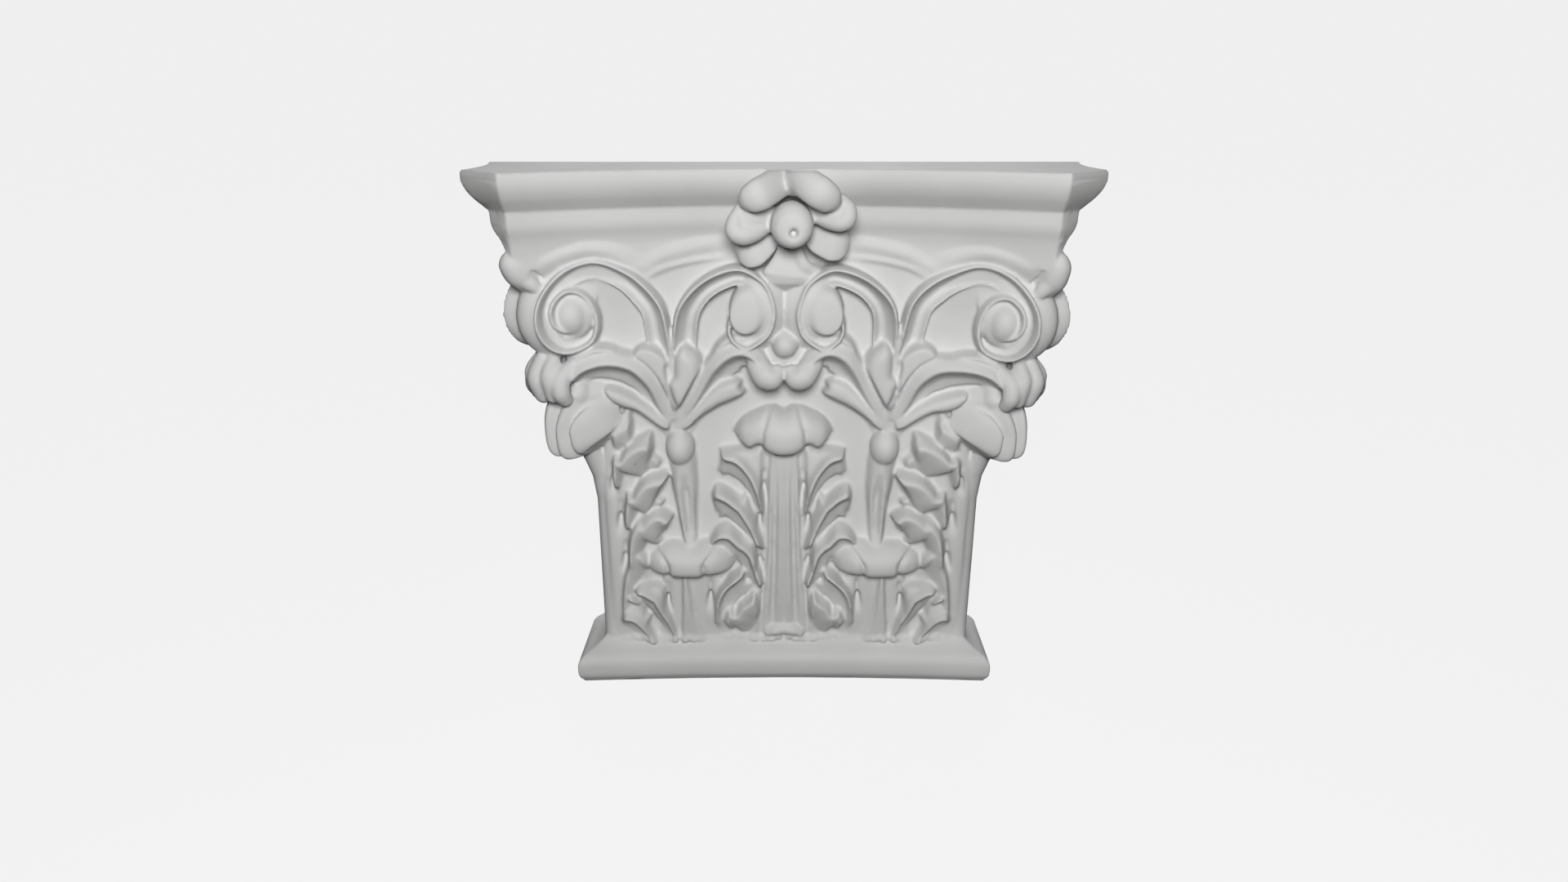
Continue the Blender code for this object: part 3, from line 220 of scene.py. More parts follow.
class Forms:
    """Closed forms, as points and faces."""

    def __init__(self):
        self.points = []
        self.faces = []
        self.count = 0

    def add(self, points, faces):
        self.points.append(np.asarray(points, float))
        self.faces.extend([tuple(i + self.count for i in face) for face in faces])
        self.count += len(points)

    def loft(self, rings, side=False, both=True):
        """Closed skin over rings of points, also on the side face and on the other half."""
        rings = np.asarray(rings, float)
        rows, size = rings.shape[:2]
        faces = ring_faces(rows, size)
        faces.append(tuple(range(size - 1, -1, -1)))
        faces.append(tuple((rows - 1) * size + j for j in range(size)))
        points = rings.reshape(-1, 3)
        for version in (points, turned_to_side(points)) if side else (points,):
            self.add(version, faces)
            if both:
                self.add(version * (-1, 1, 1), [face[::-1] for face in faces])

    def ball(self, centre, radii, side=False, both=True):
        turn = 2 * pi * np.arange(24) / 24
        rings = []
        for polar in pi * np.arange(1, 12) / 12:
            ring = columns(radii[0] * sin(polar) * np.cos(turn), radii[1] * sin(polar) * np.sin(turn),
                           np.full(24, radii[2] * cos(polar)))
            rings.append(ring + centre)
        self.loft(rings, side, both)

    def tube(self, path, radii, side=False, both=True):
        """Round finger along a path (x, p, z), with rounded ends."""
        line = curve(path, 5)
        run, wide, thick = line_frames(line)
        turn = turns(20)
        rings = []
        last = len(line) - 1
        spots = [(0, -a, s) for a, s in FINGER_END] + [(i, 0, 1) for i in range(last + 1)]
        spots += [(last, a, s) for a, s in FINGER_END[::-1]]
        for i, ahead, share in spots:
            radius = along(radii, i / last)
            centre = line[i] + run[i] * ahead * radius
            rings.append(centre + radius * share * (np.outer(np.cos(turn), wide[i])
                                                    + np.outer(np.sin(turn), thick[i])))
        self.loft(rings, side, both)

    def band(self, path, half_widths, heights, section, ground):
        """Strip along a path on a surface, with a section across it."""
        line = curve(path)
        t = np.linspace(0, 1, len(line))
        run = unit(np.gradient(line, axis=0))
        across = columns(-run[:, 1], run[:, 0])
        s = np.linspace(-1, 1, 17)
        rings = [sheet_ring(here, across[i], s * along(half_widths, t[i]),
                            along(heights, t[i]) * section(s), ground, SINK)
                 for i, here in enumerate(line)]
        self.loft(rings, both=False)


# Sections across a strip, for s from -1 to 1
def dome(s):
    return np.sqrt(np.clip(1 - s * s, 0, 1))


def soft(s):
    return np.clip(1 - s * s, 0, 1) ** 2


def shield(s):
    return 0.8 + 0.2 * dome(s)


def plate(s):
    return np.clip((1 - np.abs(s)) * 3, 0, 1) ** 0.5


def ribbon(gap, width):
    """Cove across a ribbon, at a gap from its outer edge, where a rim stands."""
    width = max(width, 7)
    rim = RIM_THICKNESS
    places = (0, 0.8, 1.4, rim, rim + 1, 0.37 * width, 0.5 * width, 0.64 * width, 0.78 * width,
              width - 1.5, width - 0.6, width)
    return np.interp(gap, places, (0.6, 0.92, 1, 0.97, 0.72, 0.48, 0.27, 0.2, 0.28, 0.48, 0.6, 0.46))


# How a fold runs down from its crest, 0, to its edge, 1, on its steep and on its gentle side
UNDER_FOLD = ((0, 0.1, 0.22, 0.36, 0.55, 0.8, 0.94, 1), (1, 0.95, 0.76, 0.52, 0.36, 0.28, 0.24, 0.1))
OVER_FOLD = ((0, 0.1, 0.3, 0.7, 1), (1, 0.97, 0.86, 0.72, 0.55))

# How a lobe's face runs down from its crest, 0, to its low edge, 1
SLOPE = ((0, 0.08, 0.3, 0.6, 0.85, 1), (1, 0.96, 0.86, 0.66, 0.42, 0.16))
VALLEY = ((0, 0.06, 0.16, 0.26, 0.4, 0.85, 0.94, 1), (1, 0.92, 0.66, 0.52, 0.47, 0.27, 0.13, 0.02))
# How it steps down behind the crest, in millimetres
STEP_BACK = ((0, 0.9, 2.2, 3, 6), (1, 0.92, 0.86, 0.64, 0.52))


def lean(z):
    """Share of their full relief that the leaves have at a height."""
    return np.interp(z, (20, 40, 80, 140), (0.35, 0.62, 0.9, 1))


class Carving:
    """Relief as heights over the points of a surface."""

    def __init__(self, across, up):
        self.across = across
        self.up = up
        self.height = np.zeros_like(across)

    def soften(self, rounds):
        for _ in range(rounds):
            for axis in (0, 1):
                places = np.arange(self.height.shape[axis])
                low = np.take(self.height, places - 1, axis=axis, mode='clip')
                high = np.take(self.height, places + 1, axis=axis, mode='clip')
                self.height = 0.5 * self.height + 0.25 * (low + high)

    def near(self, line, reach):
        """Which points lie in the box around a line."""
        low = line.min(axis=0) - reach
        high = line.max(axis=0) + reach
        return ((self.across > low[0]) & (self.across < high[0])
                & (self.up > low[1]) & (self.up < high[1]))

    def nearest(self, line, near):
        """Gap to a line, place along it from 0 to 1, and the hand: 1 on its left, -1 on its right."""
        a, b = self.across[near], self.up[near]
        best = np.full(a.shape, 1e9)
        place = np.zeros_like(a)
        hand = np.ones_like(a)
        for i, (start, end) in enumerate(zip(line, line[1:])):
            da, db = end - start
            k = np.clip(((a - start[0]) * da + (b - start[1]) * db) / (da * da + db * db), 0, 1)
            ea = a - start[0] - k * da
            eb = b - start[1] - k * db
            gap = np.hypot(ea, eb)
            closer = gap < best
            best = np.where(closer, gap, best)
            place = np.where(closer, (i + k) / (len(line) - 1), place)
            hand = np.where(closer, np.sign(da * eb - db * ea), hand)
        return best, place, hand

    def follow(self, path, reach):
        """Points near a path, then their gap, place and hand."""
        line = curve(path, 8)
        near = self.near(line, reach)
        return near, *self.nearest(line, near)

    def put(self, near, where, new):
        self.height[near] = np.where(where, new, self.height[near])

    def stroke(self, path, half_widths, heights, section):
        """Strip along a path, in place of what is there."""
        near, gap, place, hand = self.follow(path, max(half_widths))
        s = hand * gap / along(half_widths, place)
        self.put(near, np.abs(s) < 1, along(heights, place) * section(np.clip(s, -1, 1)))

    def fold(self, crest, below, above, heights, hand):
        """Leaf folded over a crest: steep down to a gutter on one hand, gentle on the other."""
        near, gap, place, side = self.follow(crest, max(below + above))
        under = side * hand > 0
        t = gap / np.where(under, along(below, place), along(above, place))
        share = np.where(under, np.interp(t, *UNDER_FOLD), np.interp(t, *OVER_FOLD))
        self.put(near, t < 1, along(heights, place) * share)

    def ridge(self, path, half_width, height):
        """Soft ridge added to what is there, or a groove where the height is negative."""
        near, gap, place, _ = self.follow(path, half_width)
        fade = np.clip(np.minimum(place, 1 - place) * 4, 0, 1)
        self.height[near] += height * fade * soft(np.clip(gap / half_width, 0, 1))

    def eye(self, x, z):
        """Wedge-shaped pocket with a slit above it."""
        top = z + EYE_LENGTH / 2
        line = np.array(((x, z - EYE_LENGTH / 2), (x, top)))
        near = self.near(line, EYE_HALF_WIDTH + 1)
        gap, place = self.nearest(line, near)[:2]
        wide = EYE_HALF_WIDTH * np.interp(place, (0, 0.3, 1), (0.9, 1, 0.5))
        floor = EYE_DEPTH * np.interp(place, (0, 0.85, 1), (0.1, 1, 0.9))
        self.height[near] -= floor * np.clip(1 - (gap / wide) ** 2, 0, 1)
        self.ridge(((x, top - 4), (x + 0.3, top + 4), (x + 1, top + 12)), 1.8, -3.4)

    def enclose(self, outline):
        """Smooth closed outline, points near it, which of them lie inside, and their gap to it."""
        rim = curve(outline + outline[:1], 5)[:-1]
        near = self.near(rim, 0.5)
        a, b = self.across[near], self.up[near]
        inside = np.zeros(a.shape, bool)
        for (x0, z0), (x1, z1) in zip(rim, np.roll(rim, -1, axis=0)):
            spans = (z0 > b) != (z1 > b)
            cross_x = x0 + (b - z0) * (x1 - x0) / (z1 - z0 + 1e-12)
            inside ^= spans & (a < cross_x)
        return rim, near, inside, self.nearest(np.vstack((rim, rim[:1])), near)[0]

    def blade(self, outline, height, rounding, slope=0):
        """Blade with a rounded edge inside a closed outline, tipped by a slope from foot to top."""
        rim, near, inside, edge = self.enclose(outline)
        up = self.up[near]
        tipped = height + slope * (up - rim.mean(axis=0)[1])
        swell = 1 - np.clip(1 - edge / rounding, 0, 1) ** 2
        self.put(near, inside, tipped * (0.35 + 0.65 * np.sqrt(swell)) * lean(up))

    def lobe(self, outline, crest, widths, height, face):
        """Lobe of a leaf inside an outline: a crest, with the face on its right or lower hand."""
        _, near, inside, edge = self.enclose(outline)
        gap, place, hand = self.nearest(curve(crest, 6), near)
        share = np.where(hand < 0, np.interp(gap / along(widths, place), *face),
                         np.interp(gap, *STEP_BACK))
        bevel = 0.45 + 0.55 * np.clip(edge / LOBE_BEVEL, 0, 1) ** 0.7
        new = height * lean(self.up[near]) * share * bevel
        self.put(near, inside, np.maximum(new, self.height[near]))


# Leaf lobes: outline, crest, how wide the face is along the crest, then height or kind of face
CORNER_LEAF_LOBES = (
    ([(-103, 157), (-102.8, 173), (-97.9, 177.5), (-92, 180), (-91, 171), (-91.5, 156), (-97, 150)],
     [(-103, 164), (-101.5, 165.4), (-97.5, 168), (-91, 171.5)], (12, 15, 15), 13),
    ([(-81, 149.5), (-78.8, 150.5), (-75.2, 147), (-76, 142), (-80, 137), (-86, 138)],
     [(-84, 148), (-79, 149.5), (-75.5, 147)], (8, 8, 8), 8),
    ([(-104.4, 130), (-103.8, 146), (-101.3, 153), (-99, 151), (-95.6, 157.2), (-91.2, 161.2),
      (-86.3, 163.6), (-82, 165.6), (-79.4, 164.9), (-79.4, 154), (-80.5, 147), (-83, 138), (-90, 130.5),
      (-96, 122), (-101, 116)],
     [(-104, 134), (-102.4, 147), (-101.2, 151.6), (-98.8, 148.7), (-97, 149.3), (-93.7, 153.2),
      (-89.4, 156.4), (-85.1, 158.3), (-81, 158.2)], (6, 9, 13, 17, 18, 17, 14), 17),
    ([(-78.4, 122.5), (-74.2, 121.2), (-75.2, 117), (-83, 110.5), (-86, 114)],
     [(-82, 121), (-78, 122.5), (-74.5, 120.5)], (8, 8, 8), 8),
    ([(-98.4, 100), (-97.6, 117), (-96.4, 124.5), (-95.2, 128.6), (-93.2, 126.5), (-91.1, 130),
      (-87.8, 134.5), (-83.3, 138.4), (-77.1, 140), (-71.4, 139.8), (-70.2, 137.5), (-75, 129.8),
      (-78.4, 122), (-83, 112), (-89, 106), (-94, 98)],
     [(-98, 107), (-96.8, 118), (-95.4, 127.2), (-92.9, 123.8), (-89.9, 123.7), (-87.8, 128.4),
      (-83.3, 133.1), (-78.3, 135), (-72.8, 135.6), (-70.6, 138)], (6, 9, 12, 16, 17, 15, 12), 17),
    ([(-97.5, 72), (-96.2, 97), (-93.2, 107), (-88.3, 110.6), (-83.2, 114.4), (-78.2, 116.2),
      (-72, 113.4), (-68.6, 109.8), (-72, 105.3), (-72.8, 101), (-77, 97), (-75, 92), (-80, 82),
      (-88, 70)],
     [(-96.4, 80), (-94, 94.5), (-91.5, 101.3), (-88.9, 105.4), (-86.4, 104), (-84.5, 106.7),
      (-81.2, 110.1), (-76.2, 112), (-71.6, 109)], (6, 10, 14, 16, 16, 14, 11), 17),
    ([(-103.5, 40), (-102, 60), (-98.5, 78), (-93, 88), (-86, 84), (-84, 70), (-88, 52), (-94, 36)],
     [(-103, 44), (-101.4, 60), (-98, 76), (-92, 86), (-86, 83)], (6, 9, 12, 14, 10), 14),
)
MIDDLE_LEAF_LOBES = (
    ([(-38.2, 154), (-26, 155.5), (-18.5, 153.5), (-13, 157), (-12.6, 140), (-13, 112), (-18, 117),
      (-24.8, 123), (-30.3, 128), (-36, 131.5), (-40.4, 137.3), (-38.8, 146)],
     [(-39.5, 151.5), (-37.3, 152.4), (-33.8, 151.1), (-29.8, 149.9), (-25.9, 146.7), (-22.9, 142.7),
      (-19.9, 137.8), (-17.5, 131.3), (-15.5, 124.1), (-13.5, 113)], (14, 17, 17, 15, 12, 9, 6, 4)),
    ([(-44.2, 124), (-42.4, 129), (-39.8, 130.8), (-34.8, 128.4), (-30.8, 125.1), (-26.3, 122),
      (-23.1, 124.8), (-20, 116), (-15.5, 105), (-13, 88), (-18, 92), (-24, 96.5), (-31, 101),
      (-38, 102.7), (-45.5, 100.5), (-45.8, 108.4), (-42.6, 113), (-43.8, 119)],
     [(-44.8, 123), (-43.4, 125.6), (-41.8, 127.6), (-38.3, 125.9), (-34.3, 123.7), (-30.8, 120.3),
      (-27.8, 117.6), (-25.3, 113.7), (-22.3, 108.1), (-19.8, 102.5), (-16.8, 94), (-14, 88)],
      (12, 18, 20, 19, 15, 12, 9, 6, 4)),
    ([(-47.2, 92), (-43.5, 98.8), (-40.4, 102.8), (-36.7, 104.8), (-33.1, 104.4), (-29.1, 101),
      (-26.1, 97.8), (-22.5, 96.2), (-18.8, 97.6), (-16.5, 84), (-13, 62), (-20, 64), (-28, 70),
      (-36, 78), (-44, 84)],
     [(-48, 92), (-45.6, 94.7), (-41.4, 98.7), (-37.3, 99.8), (-33.7, 99.2), (-30.7, 96.3),
      (-27.6, 92.9), (-25.1, 91.2), (-22.5, 88.4), (-20.2, 83.8), (-17.8, 74), (-14, 62)],
      (8, 14, 18, 19, 18, 14, 10, 6)),
)
LOWER_LEAF_LOBES = (
    ([(-101, 49), (-97.9, 56.8), (-93, 54), (-88, 46), (-94, 44)],
     [(-101, 50), (-97.9, 55.6), (-92, 52)], (6, 7, 7), VALLEY),
    ([(-94.6, 57), (-93.2, 62.5), (-89.6, 65.5), (-83.5, 64.2), (-76, 62), (-74.8, 50), (-70, 33),
      (-68, 20), (-74, 22), (-80, 35), (-86, 45), (-92, 53)],
     [(-95, 60), (-91, 60.5), (-88, 59.8), (-84.3, 57.3), (-81.3, 54.8), (-79, 49.4), (-76.1, 43),
      (-73.2, 37.3), (-69, 24)], (5, 9, 12, 12, 11, 9, 7, 5), VALLEY),
    ([(-104, 38), (-100.4, 48), (-95.4, 50.2), (-90.2, 47.6), (-88, 42), (-85, 41), (-86.4, 34),
      (-82, 24), (-80, 17), (-92, 16), (-98, 24), (-103, 30)],
     [(-105, 38.5), (-103.1, 40.1), (-99.6, 41.8), (-95.2, 40.3), (-92.2, 37.1), (-89.3, 32.4),
      (-85.7, 26.9), (-81, 18)], (8, 12, 14, 13, 10, 7, 5), VALLEY),
    ([(-44, 36), (-44, 50), (-41.5, 60), (-36, 67), (-30.6, 71.5), (-25, 74), (-24, 65.5), (-19.4, 66),
      (-19.6, 59.4), (-22, 55), (-30, 44), (-36, 30), (-42, 24)],
     [(-43.8, 36), (-43, 46), (-41.4, 55), (-37.8, 62.8), (-33, 67.8), (-27, 73)], (8, 12, 15, 17, 15),
      VALLEY),
    ([(-38.4, 38), (-36.5, 45), (-34, 47), (-31, 44.5), (-28.2, 49.6), (-21.9, 55), (-18.8, 58.5),
      (-16.4, 53), (-15.4, 45), (-16.4, 37.2), (-14.8, 24), (-25, 20), (-34, 28)],
     [(-38.2, 38), (-36, 43.5), (-34, 45.4), (-30.9, 42.2), (-28.2, 47.6), (-21.9, 52.9), (-18.4, 57)],
      (10, 13, 16, 20, 24), SLOPE),
)
MIDDLE_LOBE_HEIGHT = 18.0
LOWER_LOBE_HEIGHT = 21.0
LOBE_BEVEL = 1.8
# Pockets between the lobes
LEAF_EYES = ((-12.8, 125), (-15.2, 104), (-15.6, 76), (-104.2, 130), (-101.2, 105), (-99.5, 78),
             (-74, 48), (-47, 50))
EYE_LENGTH = 12.0
EYE_HALF_WIDTH = 3.4
EYE_DEPTH = 6.5
# Flat bodies of the leaves, and the ridges at their foot
CORNER_LEAF_BODY = [(-112, 16), (-111, 120), (-108, 160), (-99, 174), (-94, 160), (-90, 128), (-87, 90),
                    (-88, 50), (-92, 16)]
LOWER_LEAF_BODY = [(-80, 16), (-77, 50), (-73, 74), (-42, 74), (-38, 50), (-35, 16)]
LEAF_BODY_HEIGHT = 6.0
MIDRIB = ((0, 14), (0, 50), (0, 90), (0, 156))
MIDRIB_FLUTES = ((-2.4, 1.5), (2.4, 1.5), (-5.6, -2.6), (5.6, -2.6), (-9, 1.2), (9, 1.2))
FOOT_SPACING = 5.7
FOOT_RISE = 1.2


def carve_corner_leaf(carving):
    """Tall leaf at the corner, with the groove beside it."""
    carving.blade(CORNER_LEAF_BODY, LEAF_BODY_HEIGHT, 7)
    carving.ridge(((-113, 150), (-112.5, 137), (-111.5, 116), (-110.5, 92), (-110.5, 60),
                   (-110, 22)), 1.6, -1.8)
    for outline, crest, widths, height in CORNER_LEAF_LOBES:
        carving.lobe(outline, crest, widths, height, SLOPE)


def carve_leaves(carving):
    """Leaves, the stalk between them and the uneven ridges at their foot."""
    carve_corner_leaf(carving)
    carving.stroke(MIDRIB, (24, 23, 22, 22), (4, 5.5, 6, 6.5), plate)
    for outline, crest, widths in MIDDLE_LEAF_LOBES:
        carving.lobe(outline, crest, widths, MIDDLE_LOBE_HEIGHT, VALLEY)
    carving.stroke(MIDRIB, (18, 15, 12, 10.5), (2, 5.5, 8, 9.5), plate)
    for x, height in MIDRIB_FLUTES:
        carving.ridge(((x * 1.5, 20), (x * 1.1, 80), (x * 0.9, 154)), 2.4, height)
    carving.blade(LOWER_LEAF_BODY, LEAF_BODY_HEIGHT, 5)
    for outline, crest, widths, face in LOWER_LEAF_LOBES:
        carving.lobe(outline, crest, widths, LOWER_LOBE_HEIGHT, face)
    carving.stroke(((-56, 14), (-60, 30), (-61.5, 44), (-62.2, 66), (-62.2, 78)), (12, 6.5, 3.8, 2, 2),
                   (4, 6.5, 8, 9, 9), plate)
    carving.ridge(((-46, 20), (-53.8, 33.7), (-57.8, 49.4), (-60.5, 66)), 1.6, 2)
    carving.stroke(((-58.3, 88), (-59.9, 110), (-61, 130), (-61.6, 148)), (3.8, 5.5, 7.8, 8),
                   (9, 10.5, 11, 10), dome)
    carving.ridge(((-60.6, 140), (-59.4, 114), (-57.8, 88)), 3.9, -5.5)
    for x, z in LEAF_EYES:
        carving.eye(x, z)
    for x in np.arange(-107, -3, FOOT_SPACING):
        rise = FOOT_RISE * sin(0.9 * x)
        height = 3.0 + 1.4 * sin(2.3 * x)
        carving.ridge(((x - 4, 22 - rise), (x, 24.5 + rise), (x + 3.5, 22.5)), 2.4, height)


def carve_bell(carving):
    """Arched ridges of the bell's lip."""
    carving.ridge(((-146, 258), (-138, 266), (-124, 272.5), (-109, 276), (-95, 273.5), (-84, 267),
                   (-74, 259)), 7.5, 3.4)
    carving.ridge(((-86, 261), (-71, 270), (-58, 274), (-44, 277), (-26, 279)), 6.5, 2.4)
    carving.ridge(((-81, 257), (-71.6, 263), (-60.3, 266.5), (-46.5, 269), (-26, 270.5)), 2.6, 2.6)


def add_bell(forms):
    """Bell with its relief, on the front and the two sides."""
    z = np.arange(14, 300, STEP)
    half = bell_half_width(z)[:, None]
    u = np.linspace(-1, 0, int(120 / STEP))[None, :]
    x = u * half
    up = np.broadcast_to(z[:, None], x.shape)
    front = Carving(x, up.copy())
    carve_leaves(front)
    carve_caulicoles(front)
    carve_bell(front)
    front.soften(SOFTENING)
    left = np.stack((x, bell_depth(x, up) + front.height, up), axis=2)
    right = left[:, -2::-1] * (-1, 1, 1)
    pair = np.repeat(z[:, None], 2, axis=1)
    back = np.stack((np.hstack((half, -half)), np.full_like(pair, -SINK), pair), axis=2)
    forms.loft(np.concatenate((left, right, back), axis=1), both=False)

    corner = bell_depth(half, z[:, None])
    inward = np.linspace(1, 0, int(50 / STEP))[None, :] * (corner + SINK)
    side = Carving(inward - half, np.broadcast_to(z[:, None], inward.shape).copy())
    carve_corner_leaf(side)
    carve_caulicoles(side)
    side.soften(SOFTENING)
    recess = SIDE_RECESS * np.interp(side.up, (120, 165), (1, 0))
    face = np.stack((-(half - recess + 0.85 * side.height), corner - inward, side.up), axis=2)
    middle = np.hstack((np.full_like(corner, 20), np.full_like(corner, -SINK)))
    core = np.stack((np.zeros_like(pair), middle, pair), axis=2)
    forms.loft(np.concatenate((face, core), axis=1))


def add_corner_rib(forms):
    """Round rib up each front corner, which leans out at the top."""
    rings = []
    turn = turns(18)
    for z in RIB_HEIGHTS:
        lean_out = max(0, (z - 120) / 48) ** 2 * RIB_LEAN
        x = -(float(bell_half_width(z)) - 5) - lean_out
        p = float(bell_depth(x, z)) - 3.5 + lean_out
        rings.append(columns(x + RIB_RADIUS * np.cos(turn), p + RIB_RADIUS * np.sin(turn),
                             np.full(18, float(z))))
    forms.loft(rings)


def across_tip(values, u):
    """Smooth value at u, from -1 to 1, of evenly spaced values."""
    line = curve(list(enumerate(values)), 8)
    return float(np.interp((u + 1) / 2 * (len(values) - 1), line[:, 0], line[:, 1]))


def curled_tip(forms, foot, turn, half_width, lips, tops, reaches, creases, cut, tuck, both=True):
    """Leaf tip that rolls forward and down; the creases run from its top over its front to its lip.

    cut gives the creases' depth and width and the step of the leaf beyond them."""
    c, s = cos(radians(turn)), sin(radians(turn))
    angles = np.radians(np.linspace(-25, 180, 34))
    share = np.clip(angles / pi, 0, 1)
    upper = angles < pi / 2
    rings = []
    for u in np.linspace(-1, 1, 121):
        lip = across_tip(lips, u)
        top = max(across_tip(tops, u), lip + 1)
        reach = max(across_tip(reaches, u), 0.3)
        front = lip + 0.42 * (top - lip)
        height = np.where(upper, front + (top - front) * np.cos(angles),
                          front - (front - lip) * np.sin(angles - pi / 2))
        out = reach * np.where(upper, np.sin(angles), 1 - tuck * (1 - np.sin(angles)) ** 1.5)
        for crease in creases:
            place = np.interp(share, (0, 0.5, 1), crease)
            beyond = (u - place) * np.sign(crease[1])
            out = out - cut[0] * np.exp(-(beyond * half_width / cut[1]) ** 2)
            out = out - cut[2] * eased(beyond * half_width, 0, 2.5)
        spots = list(zip(out, height)) + [(-SINK, lip + 5), (-SINK, top)]
        rings.append([(foot[0] + u * half_width * c - a * s, foot[1] + u * half_width * s + a * c, z)
                      for a, z in spots])
    forms.loft(rings, both=both)


# Curled tips, at even places across: height of lip, height of top and reach; then the creases
# from top to lip, their depth, width and step, and how far the lip is tucked in
MIDDLE_TIP = ((165, 160.8, 157.4, 159.8, 156.6, 154.1, 153.7, 154.1, 156.6, 159.8, 157.4, 160.8, 165),
              (166, 173, 177, 179.5, 181.5, 182, 179.5, 182, 181.5, 179.5, 177, 173, 166),
              (0, 12, 16.5, 18, 20, 21, 21.5, 21, 20, 18, 16.5, 12, 0),
              ((-0.22, -0.42, -0.42), (0.22, 0.42, 0.42)), (3.4, 1.5, 0.8), 0.35)
LOWER_TIP = ((76.5, 74.3, 72.8, 72.2, 71.2, 71.1, 71.1, 71.1, 72, 72.6, 73, 75, 79),
             (78, 86, 90.5, 92.7, 93.3, 92.6, 91.6, 92.8, 94, 93.6, 92, 88, 80.5),
             (0, 11, 15.5, 17.5, 18.5, 19, 19, 19, 18.8, 18, 15.5, 11, 0),
             ((-0.9, -0.46, -0.46), (0.8, 0.29, 0.29)), (3.4, 1.5, 0.5), 0.5)
CORNER_TIP = ((174, 164, 158.5, 155, 153, 152, 151.5, 152, 153, 155.5, 159, 163.5, 168.5),
              (180, 190, 196, 198, 198, 196, 194, 196, 198, 197, 193, 185, 173),
              (0, 11, 18, 22.5, 25, 26.5, 27, 26.5, 25, 22.5, 18, 11, 0),
              ((-0.02, -0.1, -0.05), (0.95, 0.37, 0.45)), (6, 2.6, -2.6), 0.3)
# Round joints that close the corner below the volute, and the folds of the curl there
SCROLL_JOINTS = (((-118.5, 55, 212.5), (8, 9, 6.5)), ((-120, 54, 192), (7, 9, 8)))
OUTER_CURL_FOLDS = (
    (((-122, 62, 209), (-127.5, 67, 203.5), (-128, 68, 196), (-126.5, 65, 191)), (5, 5.5, 5.5, 4.5)),
    (((-132, 62, 214), (-134.5, 67, 205), (-133, 65, 193)), (4, 5, 4.5)),
    (((-139, 60, 212), (-142, 63, 203), (-139.5, 60.5, 193)), (5.5, 6, 5.5)),
)


def add_leaf_tips(forms):
    """Curled tips of the leaves, the folded curl at the corner and the foot of the middle rib."""
    forms.band(((-12, 27.5), (-6, 30), (0, 30.6), (6, 30), (12, 27)), (3.2, 4.4, 4.2, 4.4, 3.2),
               (6.5, 9, 8, 9, 6.5), dome, bell_depth)
    curled_tip(forms, (0, 41), 0, 31.3, *MIDDLE_TIP, both=False)
    curled_tip(forms, (-58.5, 38), 0, 29.5, *LOWER_TIP)
    curled_tip(forms, (-116.5, 43), 45, 22, *CORNER_TIP)
    for path, radii in OUTER_CURL_FOLDS:
        forms.tube(path, radii, side=True)
    forms.tube(((-120, 44, 214), (-123, 48, 200), (-120, 46, 184)), (9, 11, 10), side=True)


def wound_ribbon(forms, path, hand, widths, heights, ground, side):
    """Hollow ribbon along its outer edge on a sheet; hand 1 has it on the edge's left."""
    edge = curve(path)
    run = unit(np.gradient(edge, axis=0))
    inward = hand * columns(-run[:, 1], run[:, 0])
    length = np.concatenate(((0,), np.cumsum(np.linalg.norm(np.diff(edge, axis=0), axis=1))))
    t = length / length[-1]
    rings = []
    for i, here in enumerate(edge):
        width = float(along(widths, t[i]))
        gap = np.linspace(width, 0, 31)
        lift = along(heights, t[i]) * (ribbon(gap, width) - RIBBON_DROP)
        rings.append(sheet_ring(here, inward[i], gap, lift, ground, 2 * SINK))
    forms.loft(rings, side)


# Outer edges of the scrolls, from the stem to the heart
VOLUTE_PATH = np.array((
    (-64.9, 200), (-64.9, 210), (-65.3, 222), (-68.5, 242), (-79.4, 256.5), (-92, 265), (-106.6, 269.3),
    (-121.1, 265.4), (-131.4, 256.3), (-137.4, 244.6), (-137.9, 232), (-133.4, 221.7),
    (-125.6, 216), (-116.2, 216.5), (-107.7, 222), (-104.5, 232.9), (-106.9, 244),
    (-113.5, 251.6), (-121.9, 253.2), (-129, 247.5), (-131.4, 239.5), (-129, 231.5),
    (-122, 227.3), (-115, 230.5),
)) + (0, RIM_LIFT)
VOLUTE_EYE = (-120.6, 239)
SCROLL_START = 6
SCROLL_END = 16
SCROLL_SWELL = 5.5
HELIX_PATH = (
    (-65.8, 200), (-65.8, 210), (-65.3, 222), (-62, 240.7), (-53.5, 253.8), (-40.5, 263), (-25, 266.6),
    (-11.5, 259.5), (-5.5, 249), (-4, 237.6), (-8, 226), (-20, 217.5), (-29, 221),
    (-33, 228), (-32.5, 236),
)
HELIX_EYE = (-20.2, 241.7)
# Drum at the heart of an inner scroll and a scroll's floor: share of the radius, height over the sheet
DRUM = ((1, -12), (1, 4), (0.95, 7.2), (0.86, 9.8), (0.74, 11.4), (0.62, 12), (0.1, 12.3))
DRUM_LEAN = (-8.5, -10.5)
SCROLL_FLOOR = ((1, -12), (1, 0.8), (0.9, 3.2), (0.7, 4.6), (0.1, 5.2))


def helix_depth(x, z):
    return bell_depth(x, z) + 8.0 - np.where(np.abs(x) > 45, stem_drop(x, z), 0)


def add_disc(forms, place, radii, profile, ground, side=False, tilt=(0, 0)):
    """Low round block on a sheet; tilt moves its upper rings across and up."""
    x, z = place
    rings = []
    for share, height in profile:
        middle = (x + tilt[0] * (1 - share), z + tilt[1] * (1 - share))
        size = (radii[0] * share, radii[1] * share)
        rings.append(upright_ring(middle, size, ground(x, z) + height, 32))
    forms.loft(rings, side)


